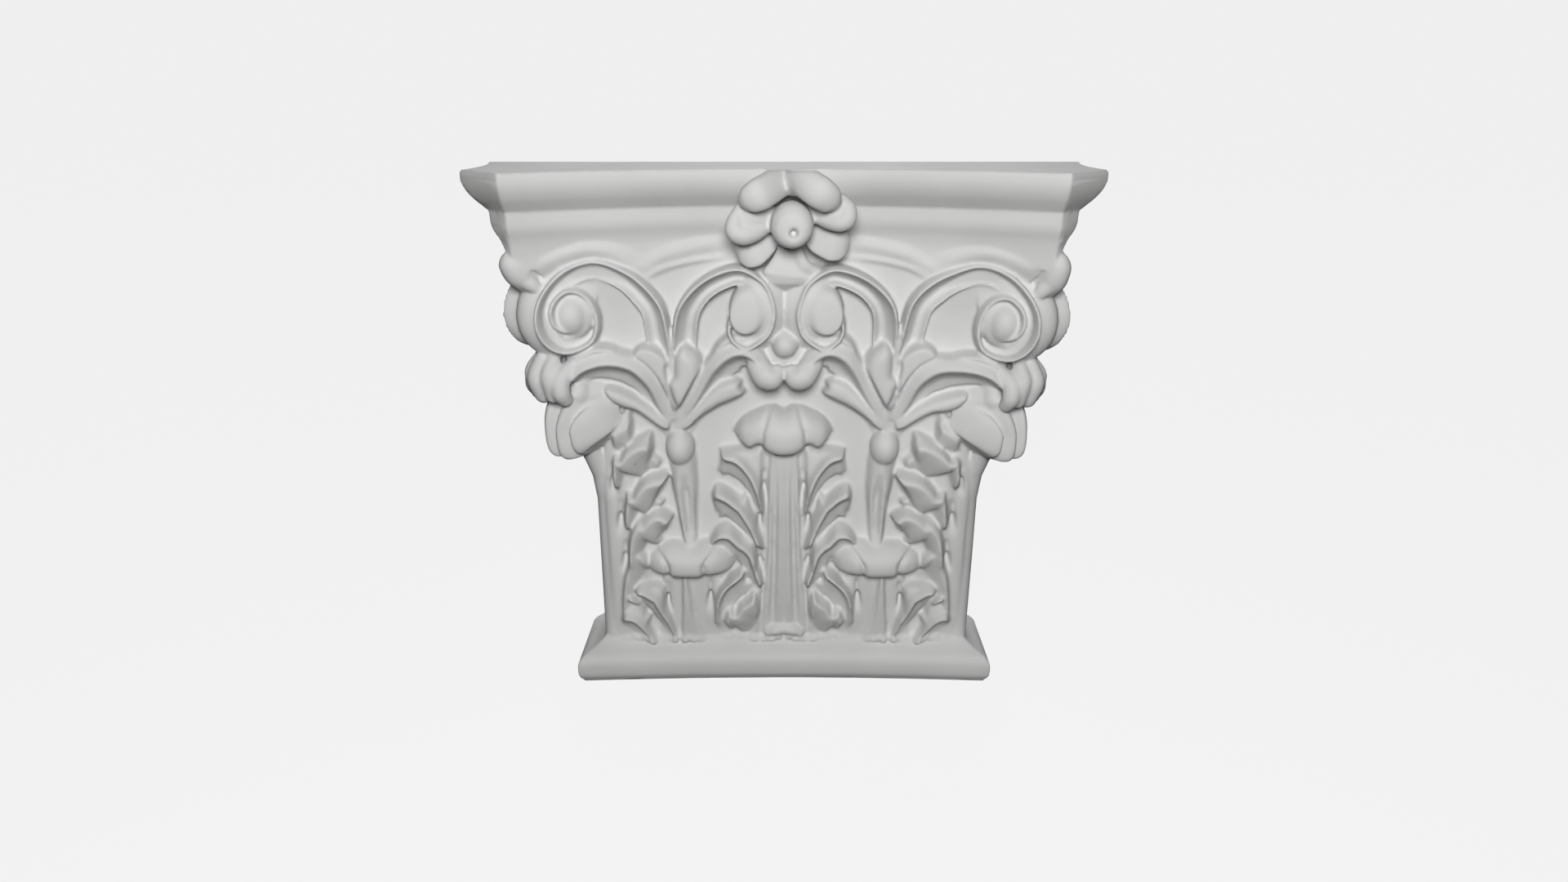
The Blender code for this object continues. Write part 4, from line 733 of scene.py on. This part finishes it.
def add_volutes(forms):
    """Corner scrolls of two faces, and the rolled body between them."""
    wound_ribbon(forms, VOLUTE_PATH, 1, (14.5, 14.5, 14, 12.5, 11.5, 10, 9.5, 9, 8.5, 8, 7),
                 (15, 15, 15, 15, 14, 13, 12), volute_depth, True)
    x, z = VOLUTE_EYE
    heart = float(volute_depth(x, z))
    forms.ball((x, heart - 1, z), (9.6, 12, 11.4), side=True)
    add_disc(forms, VOLUTE_EYE, (12.5, 13.5), SCROLL_FLOOR, volute_depth, True)
    coil = curve(VOLUTE_PATH[SCROLL_START:SCROLL_END], 5)
    front = columns(coil[:, 0], volute_depth(coil[:, 0], coil[:, 1]) + 1, coil[:, 1])
    side = turned_to_side(front)
    outward = unit(front - (x, heart, z))
    rings = []
    for share in np.linspace(0, 1, 17):
        swell = SCROLL_SWELL * sin(pi * share) - 1.5
        rings.append(front * (1 - share) + side * share + swell * outward)
    forms.loft(rings)


def add_helices(forms):
    """Inner scrolls, and the bead between them."""
    wound_ribbon(forms, HELIX_PATH, -1, (14.5, 14.5, 14, 12.5, 12, 10, 8.5, 8, 7.5, 7),
                 (15, 15, 15, 15, 15.5, 16, 16, 15.5, 14), helix_depth, False)
    x, z = HELIX_EYE
    add_disc(forms, HELIX_EYE, (11.2, 14.2), DRUM, helix_depth, tilt=DRUM_LEAN)
    add_disc(forms, (x + 2.4, z - 3.4), (12.5, 18.4), SCROLL_FLOOR, helix_depth)
    forms.ball((x + 7, 42, z), (16, 19, 26))
    forms.ball((0, 48, 220), (7.6, 13, 8.4), both=False)
    forms.ball((0, 43, 213), (13, 10, 12), both=False)


# Crests of the leaves that fold over towards the corner and the middle
OUTER_LEAF_CREST = (
    (-65.5, 165), (-70.2, 175.5), (-73.5, 184), (-77, 195), (-82, 203.5), (-89, 209.5), (-98.5, 212),
    (-107.5, 211.5), (-116, 208), (-122, 202), (-124, 195.5), (-123, 189.5),
)
INNER_LEAF_CREST = (
    (-62.8, 165), (-58.5, 175), (-52.5, 186), (-44.5, 201.3), (-40, 208), (-34.5, 213.5), (-26, 217),
    (-18.5, 214.5), (-13.5, 208), (-12.5, 201),
)


def carve_caulicoles(carving):
    """Leaves that rise from the stalks and fold over to both sides."""
    carving.blade([(-89, 204), (-91, 213), (-94, 216.5), (-99.5, 220.3), (-108, 221.5), (-116, 218.5),
                   (-124, 213), (-120, 204), (-100, 204)], 14, 2.5, -0.05)
    carving.blade([(-66, 178), (-67, 196), (-68.2, 206), (-67.2, 211), (-70, 215.5), (-75, 218.8),
                   (-80, 220.6), (-84.6, 219.4), (-87.4, 215.8), (-88, 206), (-80, 190), (-70, 178)],
                  14, 2.5, -0.04)
    carving.fold(OUTER_LEAF_CREST, (7, 7.5, 8.5, 10.5, 13.5, 14, 13.5, 12, 9.5, 6.5, 5, 5),
                 (7, 7, 6.5, 6, 6, 6, 6, 6, 6, 7, 7, 6),
                 (6, 8.5, 11.5, 15, 17.5, 18.5, 18.5, 19, 19, 19, 18, 16), 1)
    carving.blade([(-65, 166), (-71.5, 175.5), (-79.5, 183), (-87, 188.5), (-96, 193.5), (-103, 195.5),
                   (-106, 193.5), (-101.8, 186.4), (-94.3, 182), (-87.8, 179.8), (-80.3, 173.8),
                   (-73.9, 168.8)], 12, 4.5)
    carving.blade([(-64.2, 176), (-67.4, 186), (-68.2, 198), (-65, 202.5), (-64.2, 211.5), (-62.6, 216.8),
                   (-58.4, 220), (-53.4, 218), (-48.8, 212.8), (-47.4, 206), (-48, 198), (-55, 184)],
                  17, 7.5)
    carving.ridge(((-68.8, 199), (-66.6, 190.5), (-63.8, 184), (-63, 173)), 2.6, -3.6)
    carving.blade([(-50, 192), (-44.7, 201.8), (-43.7, 208.4), (-42.3, 215), (-37.3, 222.7), (-30, 227),
                   (-22, 226), (-16, 216), (-26, 210), (-38, 200)], 14, 2.5)
    carving.fold(INNER_LEAF_CREST, (7, 7.5, 9, 11, 13, 14, 14.5, 12, 8, 6),
                 (7, 7, 6.5, 6, 6, 6, 6, 6, 6, 6), (6, 8.5, 12, 15.5, 17.5, 18.5, 19, 19, 19, 17), -1)
    carving.blade([(-63.5, 166), (-55.1, 178.5), (-48.4, 187), (-39.2, 195.5), (-30.2, 198.6),
                   (-25.4, 197), (-25.8, 194), (-23.2, 190), (-30.5, 185.8), (-38.4, 182.4),
                   (-48.9, 175.6), (-56.5, 168.8)], 12, 4.5)


def add_caulicoles(forms):
    """Beads of the stalks, middle curls, and what closes the joints between leaves."""
    forms.ball((-62.8, 45, 155.5), (8.9, 12, 11.4))
    forms.tube(((-15.5, 54, 208), (-11, 57, 203), (-7, 58, 202), (-4, 56.5, 205)), (6.5, 8, 7.2, 4.6))
    forms.tube(((-65, 46, 176), (-65.3, 48, 190), (-65.4, 50, 207), (-65.5, 53, 223)), (4, 5.2, 4, 2.5))
    for place, radii in SCROLL_JOINTS:
        forms.ball(place, radii, side=True)


FLOWER_CENTRE = (4.2, 291.5)
# Petals, a pair each at the top, at the sides and below: path from the boss outward, beside and
# above its middle, then half widths, rise between the edges, and how much these roll
PETALS = (
    (((0.5, 54, 22), (-7, 69, 21.5), (-16.5, 80.5, 17), (-22.5, 80, 13.5), (-26.5, 76, 10.5)),
     (8, 8.5, 9, 7.8, 3), (3, 4, 5, 5, 2), 0),
    (((-1.5, 64, 21), (6, 76, 22.5), (14.5, 82, 17.9), (20.5, 80, 13.5), (24.5, 76, 10.5)),
     (7, 8.5, 9, 7.8, 3), (5, 6, 6, 5, 2), 0),
    (((-8, 60, 3), (-18, 68, 4), (-25.5, 72, 3), (-29, 70, 3)), (4, 9.5, 9, 5), (3, 5, 5, 3), 1),
    (((8, 60, 5), (18, 68, 7), (25, 72, 7), (28, 70, 7)), (4, 8.5, 8.5, 5), (3, 5, 5, 3), 1),
    (((-8, 54, -4), (-15.5, 60, -10), (-22, 63, -14.5), (-26.5, 62, -16.5), (-29.5, 59, -17.5)),
     (5, 9, 10.5, 9, 4), (2, 2.5, 3, 3, 2), 1.4),
    (((8, 54, -3), (15.5, 60, -8.5), (23, 63, -11), (27.5, 62, -12), (31, 59, -12.5)),
     (5, 9, 10.5, 9, 4), (2, 2.5, 3, 3, 2), 1.4),
)
# Rolled outer edges of the side petals: path, then radii
PETAL_ROLLS = (
    (((-12, 64, -0.5), (-19, 70, -3.8), (-26, 74, -5.5), (-31, 75, -3), (-30.5, 74, 3),
      (-26.5, 71, 9.5)), (3.5, 5.2, 5.8, 5.2, 4.2, 3.2)),
    (((12, 64, 4), (19, 70, 2), (25.5, 74, 1.2), (29.8, 75, 3), (30.4, 74, 8.5), (27, 71, 13)),
     (3.5, 4.6, 5.2, 4.9, 4.4, 3.5)),
)
# Boss: radius, distance out and share of the way to the drilled hole
BOSS = ((11, 60, 0), (11.8, 70, 0), (11.8, 75, 0.1), (10.8, 79, 0.25), (8.6, 82, 0.5),
        (5.6, 83.6, 0.8), (3.4, 83.8, 0.95), (2.4, 83, 1), (1.9, 81, 1), (1.6, 78.5, 1))
BOSS_HOLE = (1, -3.6)


def add_petal(forms, path, half_widths, rise, roll):
    """Thick petal along a path (x, p, z), whose two edges roll forward."""
    line = curve(path)
    t = np.linspace(0, 1, len(line))
    _, wide, out = line_frames(line)
    out *= np.sign(out[:, 1:2])
    s = np.linspace(-1, 1, 25)
    rings = []
    for i, here in enumerate(line):
        half = along(half_widths, t[i])
        lift = along(rise, t[i])
        cup = roll * np.abs(s) ** 2.5
        front = here + np.outer(s * half, wide[i]) + np.outer(lift * (1 - s * s) ** 0.5 + cup, out[i])
        back = here + np.outer(s[::-1] * half, wide[i]) - np.outer(7.0 + 2.0 * (1 - s * s), out[i])
        rings.append(np.vstack((front, back[1:-1])))
    forms.loft(rings, both=False)


def add_fleuron(forms):
    """Flower: petals, drilled boss and the leaf that it stands on."""
    x, z = FLOWER_CENTRE
    for path, half_widths, rise, roll in PETALS:
        add_petal(forms, [(x + a, p, z + b) for a, p, b in path], half_widths, rise, roll)
    for path, radii in PETAL_ROLLS:
        forms.tube([(x + a, p, z + b) for a, p, b in path], radii, both=False)
    rings = []
    for radius, p, share in BOSS:
        middle = (x + share * BOSS_HOLE[0], z + share * BOSS_HOLE[1])
        rings.append(upright_ring(middle, (radius, 1.05 * radius), p, 28))
    forms.loft(rings, both=False)
    forms.band(((x, z - 8), (x - 0.5, z - 15), (x - 1.5, z - 23), (x - 2.5, z - 30), (x - 3, z - 35),
                (x - 3, z - 39)), (6, 7, 10, 14, 10, 3), (15, 14, 15, 17, 15.5, 10), shield, bell_depth)
    forms.tube(((7.5, 57, 275), (11.5, 56, 266.5), (18, 53, 262.5)), (3, 4.2, 3.4), both=False)


def add_horn_leaf(forms):
    """Small folded leaf above each volute."""
    forms.tube(((-143.5, 64, 260), (-147, 69.5, 265), (-149.5, 72, 270.5), (-148.5, 71, 275.5)),
               (7.5, 8, 7, 4))
    forms.tube(((-149.5, 70, 268), (-145, 70.5, 262.5), (-140, 69, 258), (-136, 66, 254)),
               (4, 4.8, 4.2, 2.6))


def mirrored(right):
    return np.vstack((right[::-1] * (-1, 1), right[1:]))


def abacus_outline(share):
    """Outline of the abacus from above, at a share of its inset."""
    inset = share * ABACUS_STEP
    horn_x = ABACUS_HALF_WIDTH - 1.3 * inset
    horn_p = ARRIS_HALF_WIDTH + ABACUS_DEPTH - ABACUS_HALF_WIDTH + 0.3 * inset
    x = np.linspace(0, ARRIS_HALF_WIDTH, 25)
    front = ABACUS_DEPTH - ABACUS_HOLLOW * (1 - (x / ARRIS_HALF_WIDTH) ** 2) - inset
    p = np.linspace(horn_p, -SINK, 15)
    t = np.clip(p / horn_p, 0, 1)
    wall_x = ABACUS_WALL_HALF_WIDTH - 1.3 * inset
    side = wall_x + (horn_x - wall_x) * t - ABACUS_SIDE_HOLLOW * 4 * t * (1 - t)
    return mirrored(np.vstack((columns(x, front), columns(side, p))))


def base_outline(share):
    """Outline of the base from above, at a share of its projection."""
    reach = NECK_HALF_WIDTH + BASE_SIDE_PROJECTION * share
    x = np.linspace(0, reach, 25)
    front = NECK_DEPTH + NECK_HOLLOW * (x / reach) ** 2 + BASE_FRONT_PROJECTION * share
    return mirrored(np.vstack((columns(x, front), ((reach, -SINK),))))


def add_moulding(forms, outline, profile, start, height):
    """Moulding round an outline, up or down from an end of the capital."""
    rings = [np.insert(outline(profile[0][1]), 2, start - np.sign(height) * SINK, axis=1)]
    for rise, share in curve(profile, 3):
        rings.append(np.insert(outline(share), 2, start + rise * height, axis=1))
    forms.loft(rings, both=False)


def with_modifiers(holder):
    return bpy.data.meshes.new_from_object(holder.evaluated_get(bpy.context.evaluated_depsgraph_get()))


def remeshed(mesh):
    """One skin over all closed forms, softened and then thinned."""
    holder = place_object("forms", mesh)
    fuse = holder.modifiers.new("fuse", 'REMESH')
    fuse.mode = 'VOXEL'
    fuse.voxel_size = VOXEL * MM
    soften = holder.modifiers.new("soften", 'SMOOTH')
    soften.iterations = SMOOTHING_ROUNDS
    holder.data = with_modifiers(holder)
    holder.modifiers.clear()
    thin = holder.modifiers.new("thin", 'DECIMATE')
    thin.ratio = FACES / (2.0 * len(holder.data.polygons))
    result = with_modifiers(holder)
    bpy.data.objects.remove(holder)
    return result


def cut_flat(mesh):
    """Cut the skin flat at the back, top and underside."""
    solid = bmesh.new()
    solid.from_mesh(mesh)
    for axis, place, facing in ((1, ABACUS_DEPTH / 2, 1), (2, HEIGHT, 1), (2, 0, -1)):
        for vert in solid.verts:
            if abs(vert.co[axis] - place * MM) < SNAP * MM:
                vert.co[axis] = place * MM
        way = np.eye(3)[axis]
        everything = solid.verts[:] + solid.edges[:] + solid.faces[:]
        bmesh.ops.bisect_plane(solid, geom=everything, dist=1e-6, clear_outer=True,
                               plane_co=way * (place * MM), plane_no=way * facing)
        rim = [edge for edge in solid.edges if edge.is_boundary]
        bmesh.ops.triangle_fill(solid, use_beauty=True, use_dissolve=False, edges=rim)
    bmesh.ops.triangulate(solid, faces=solid.faces)
    bmesh.ops.recalc_face_normals(solid, faces=solid.faces)
    solid.to_mesh(mesh)
    solid.free()
    mesh.update()


# Where the right half departs from the mirrored left: place, then shift
DRIFTS = (
    (120, 240, 6, -6.5), (118, 217, 3.2, -5.5), (138, 240, 4, -2.5), (107, 268, 3.5, -2),
    (65, 235, 3, 3), (22, 243, 3.4, -1), (45, 262, 2, 0), (62, 205, -2, 0),
    (64, 165, -1.5, 0), (63, 154, -2.4, 0), (60, 120, -3.4, 0), (58, 82, -0.8, 0),
    (113, 178, 3.5, -4), (116, 130, 4.4, 0), (114, 90, 3.6, 0), (114, 40, 2.6, 0),
    (135, 200, 1.6, -2), (0, 200, 0, 0), (0, 150, 0, 0), (0, 80, 0, 0), (30, 80, 0, 0),
    (30, 40, 0, 0), (150, 290, 0, 0), (60, 300, 0, 0),
)
DRIFT_REACH = 18.0
DRIFT_FADE = 0.05
DRIFT_START = 6.0


def hand_carved(points):
    """Shift the points of the right half by the drifts around each."""
    x, z = points[:, 0], points[:, 2]
    total = np.full(len(points), DRIFT_FADE)
    shift = np.zeros_like(points)
    for place_x, place_z, across, up in DRIFTS:
        weight = np.exp(-((x - place_x) ** 2 + (z - place_z) ** 2) / (2 * DRIFT_REACH ** 2))
        total += weight
        shift += np.outer(weight, (across, 0, up))
    return points + eased(x, 0, DRIFT_START)[:, None] * shift / total[:, None]


def place_object(name, data):
    holder = bpy.data.objects.new(name, data)
    bpy.context.scene.collection.objects.link(holder)
    return holder


def set_inputs(node, values):
    for name, value in values.items():
        node.inputs[name].default_value = value


def look_down(holder, distance, elevation):
    """Set a light or camera in front of the capital, aimed at its middle."""
    lift = radians(elevation)
    holder.location = (0, -distance * cos(lift), 0.5 * HEIGHT * MM + distance * sin(lift))
    holder.rotation_euler = (pi / 2 - lift, 0, 0)


def plaster():
    """Pale matte plaster with faint clouds and fine grain."""
    material = bpy.data.materials.new("cast_plaster")
    material.use_nodes = True
    tree = material.node_tree
    shader = tree.nodes["Principled BSDF"]
    place = tree.nodes.new("ShaderNodeTexCoord")

    def noise(scale, detail):
        node = tree.nodes.new("ShaderNodeTexNoise")
        set_inputs(node, {"Scale": scale, "Detail": detail})
        tree.links.new(place.outputs["Object"], node.inputs["Vector"])
        return node

    clouds = noise(CLOUD_SCALE, 5)
    grain = noise(GRAIN_SCALE, 3)
    tint = tree.nodes.new("ShaderNodeValToRGB")
    for stop, (spot, tone) in zip(tint.color_ramp.elements, PLASTER_TONES):
        stop.position = spot
        stop.color = tone
    tree.links.new(clouds.outputs["Fac"], tint.inputs["Fac"])
    tree.links.new(tint.outputs["Color"], shader.inputs["Base Color"])

    rough = tree.nodes.new("ShaderNodeMapRange")
    set_inputs(rough, {"To Min": PLASTER_ROUGHNESS[0], "To Max": PLASTER_ROUGHNESS[1]})
    tree.links.new(clouds.outputs["Fac"], rough.inputs["Value"])
    tree.links.new(rough.outputs["Result"], shader.inputs["Roughness"])
    set_inputs(shader, {"Specular IOR Level": 0.35})

    bump = tree.nodes.new("ShaderNodeBump")
    set_inputs(bump, {"Strength": 0.12, "Distance": GRAIN_DEPTH})
    tree.links.new(grain.outputs["Fac"], bump.inputs["Height"])
    tree.links.new(bump.outputs["Normal"], shader.inputs["Normal"])
    return material


def on_bearing_face(polygon):
    """Whether a face lies in the flat back, top or underside."""
    _, y, z = polygon.center
    gaps = (y - ABACUS_DEPTH / 2 * MM, z - HEIGHT * MM, z)
    return min(abs(gap) for gap in gaps) < 0.01 * MM


def build_capital():
    """The whole surface as one mesh, in metres."""
    drawn = Forms()
    for add_part in (add_bell, add_corner_rib, add_leaf_tips, add_volutes, add_helices,
                     add_caulicoles, add_horn_leaf):
        add_part(drawn)
    forms = Forms()
    forms.add(hand_carved(np.vstack(drawn.points)), drawn.faces)
    add_fleuron(forms)
    add_moulding(forms, abacus_outline, ABACUS_PROFILE, HEIGHT, -ABACUS_HEIGHT)
    add_moulding(forms, base_outline, BASE_PROFILE, 0, BASE_HEIGHT)
    points = np.vstack(forms.points)
    world = columns(points[:, 0], ABACUS_DEPTH / 2 - points[:, 1], points[:, 2]) * MM
    mesh = bpy.data.meshes.new("capital_surface")
    mesh.from_pydata(world.tolist(), [], forms.faces)
    skin = remeshed(mesh)
    skin.name = "capital_surface"
    cut_flat(skin)
    skin.materials.clear()
    skin.materials.append(plaster())
    for polygon in skin.polygons:
        polygon.use_smooth = not on_bearing_face(polygon)
    return place_object("capital_surface", skin)


def keep_inside(piece, low, high):
    """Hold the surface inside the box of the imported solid."""
    for vertex in piece.data.vertices:
        vertex.co = np.clip(vertex.co, low, high)
    piece.data.update()


def add_light(name, kind, energy):
    holder = place_object(name, bpy.data.lights.new(name, kind))
    holder.data.energy = energy
    holder.visible_camera = False
    return holder


def add_key_light():
    """Soft round light above and behind the camera."""
    holder = add_light("key_light", 'AREA', KEY_WATTS)
    holder.data.shape = 'DISK'
    holder.data.size = KEY_SIZE
    look_down(holder, KEY_DISTANCE, KEY_ELEVATION)


def add_back_light():
    """Low light that shows the back in views from behind."""
    holder = add_light("back_light", 'SUN', BACK_STRENGTH)
    holder.data.angle = radians(BACK_SPREAD)
    holder.rotation_euler = (radians(90.0 - BACK_ELEVATION), 0, pi)


def backdrop_paper():
    """Pale matte paper that shows evenly lit."""
    paper = bpy.data.materials.new("backdrop_paper")
    paper.use_nodes = True
    set_inputs(paper.node_tree.nodes["Principled BSDF"], {
        "Base Color": (PAPER_SHADE, PAPER_SHADE, PAPER_SHADE, 1), "Roughness": 0.9,
        "Specular IOR Level": 0, "Emission Color": (1, 1, 1, 1), "Emission Strength": PAPER_GLOW})
    return paper


def add_fill_light():
    """World that is dark below and grows lighter upward."""
    world = bpy.data.worlds.new("studio_world")
    world.use_nodes = True
    tree = world.node_tree
    place = tree.nodes.new("ShaderNodeTexCoord")
    split = tree.nodes.new("ShaderNodeSeparateXYZ")
    ramp = tree.nodes.new("ShaderNodeMapRange")
    set_inputs(ramp, {"From Min": -1, "From Max": 1, "To Min": FILL_BELOW, "To Max": FILL_ABOVE})
    tree.links.new(place.outputs["Generated"], split.inputs["Vector"])
    tree.links.new(split.outputs["Z"], ramp.inputs["Value"])
    tree.links.new(ramp.outputs["Result"], tree.nodes["Background"].inputs["Strength"])
    bpy.context.scene.world = world


def add_studio():
    """Round pale floor that curves up into a wall, and the lights."""
    profile = [(0, 0)]
    for turn in np.linspace(0, pi / 2, 17):
        profile.append((STUDIO_RADIUS - STUDIO_CURVE * (1 - sin(turn)), STUDIO_CURVE * (1 - cos(turn))))
    profile.append((STUDIO_RADIUS, STUDIO_HEIGHT))
    points = [(radius * cos(turn), radius * sin(turn), z)
              for radius, z in profile for turn in turns(STUDIO_SIDES)]
    mesh = bpy.data.meshes.new("studio_floor")
    mesh.from_pydata(points, [], ring_faces(len(profile), STUDIO_SIDES))
    mesh.shade_smooth()
    mesh.materials.append(backdrop_paper())
    floor = place_object("studio_floor", mesh)
    floor.visible_diffuse = floor.visible_glossy = floor.visible_shadow = False
    add_fill_light()
    add_key_light()
    add_back_light()
    bpy.context.scene.view_settings.view_transform = 'Standard'


def add_camera():
    """Straight on and from above, as in the photograph."""
    camera = place_object("camera", bpy.data.cameras.new("camera"))
    camera.data.lens = CAMERA_LENS
    look_down(camera, CAMERA_DISTANCE, CAMERA_ELEVATION)
    bpy.context.scene.camera = camera


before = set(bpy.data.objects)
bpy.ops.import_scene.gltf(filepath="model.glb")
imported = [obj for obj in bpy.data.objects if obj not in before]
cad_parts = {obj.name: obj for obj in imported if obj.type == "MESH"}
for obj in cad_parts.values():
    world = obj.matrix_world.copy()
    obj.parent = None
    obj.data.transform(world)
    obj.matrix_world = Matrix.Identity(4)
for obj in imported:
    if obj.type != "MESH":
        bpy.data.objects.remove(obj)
cad_low, cad_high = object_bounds()
add_camera()
add_studio()
capital = build_capital()
keep_inside(capital, cad_low, cad_high)
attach(capital, "root")
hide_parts("pilaster_capital")
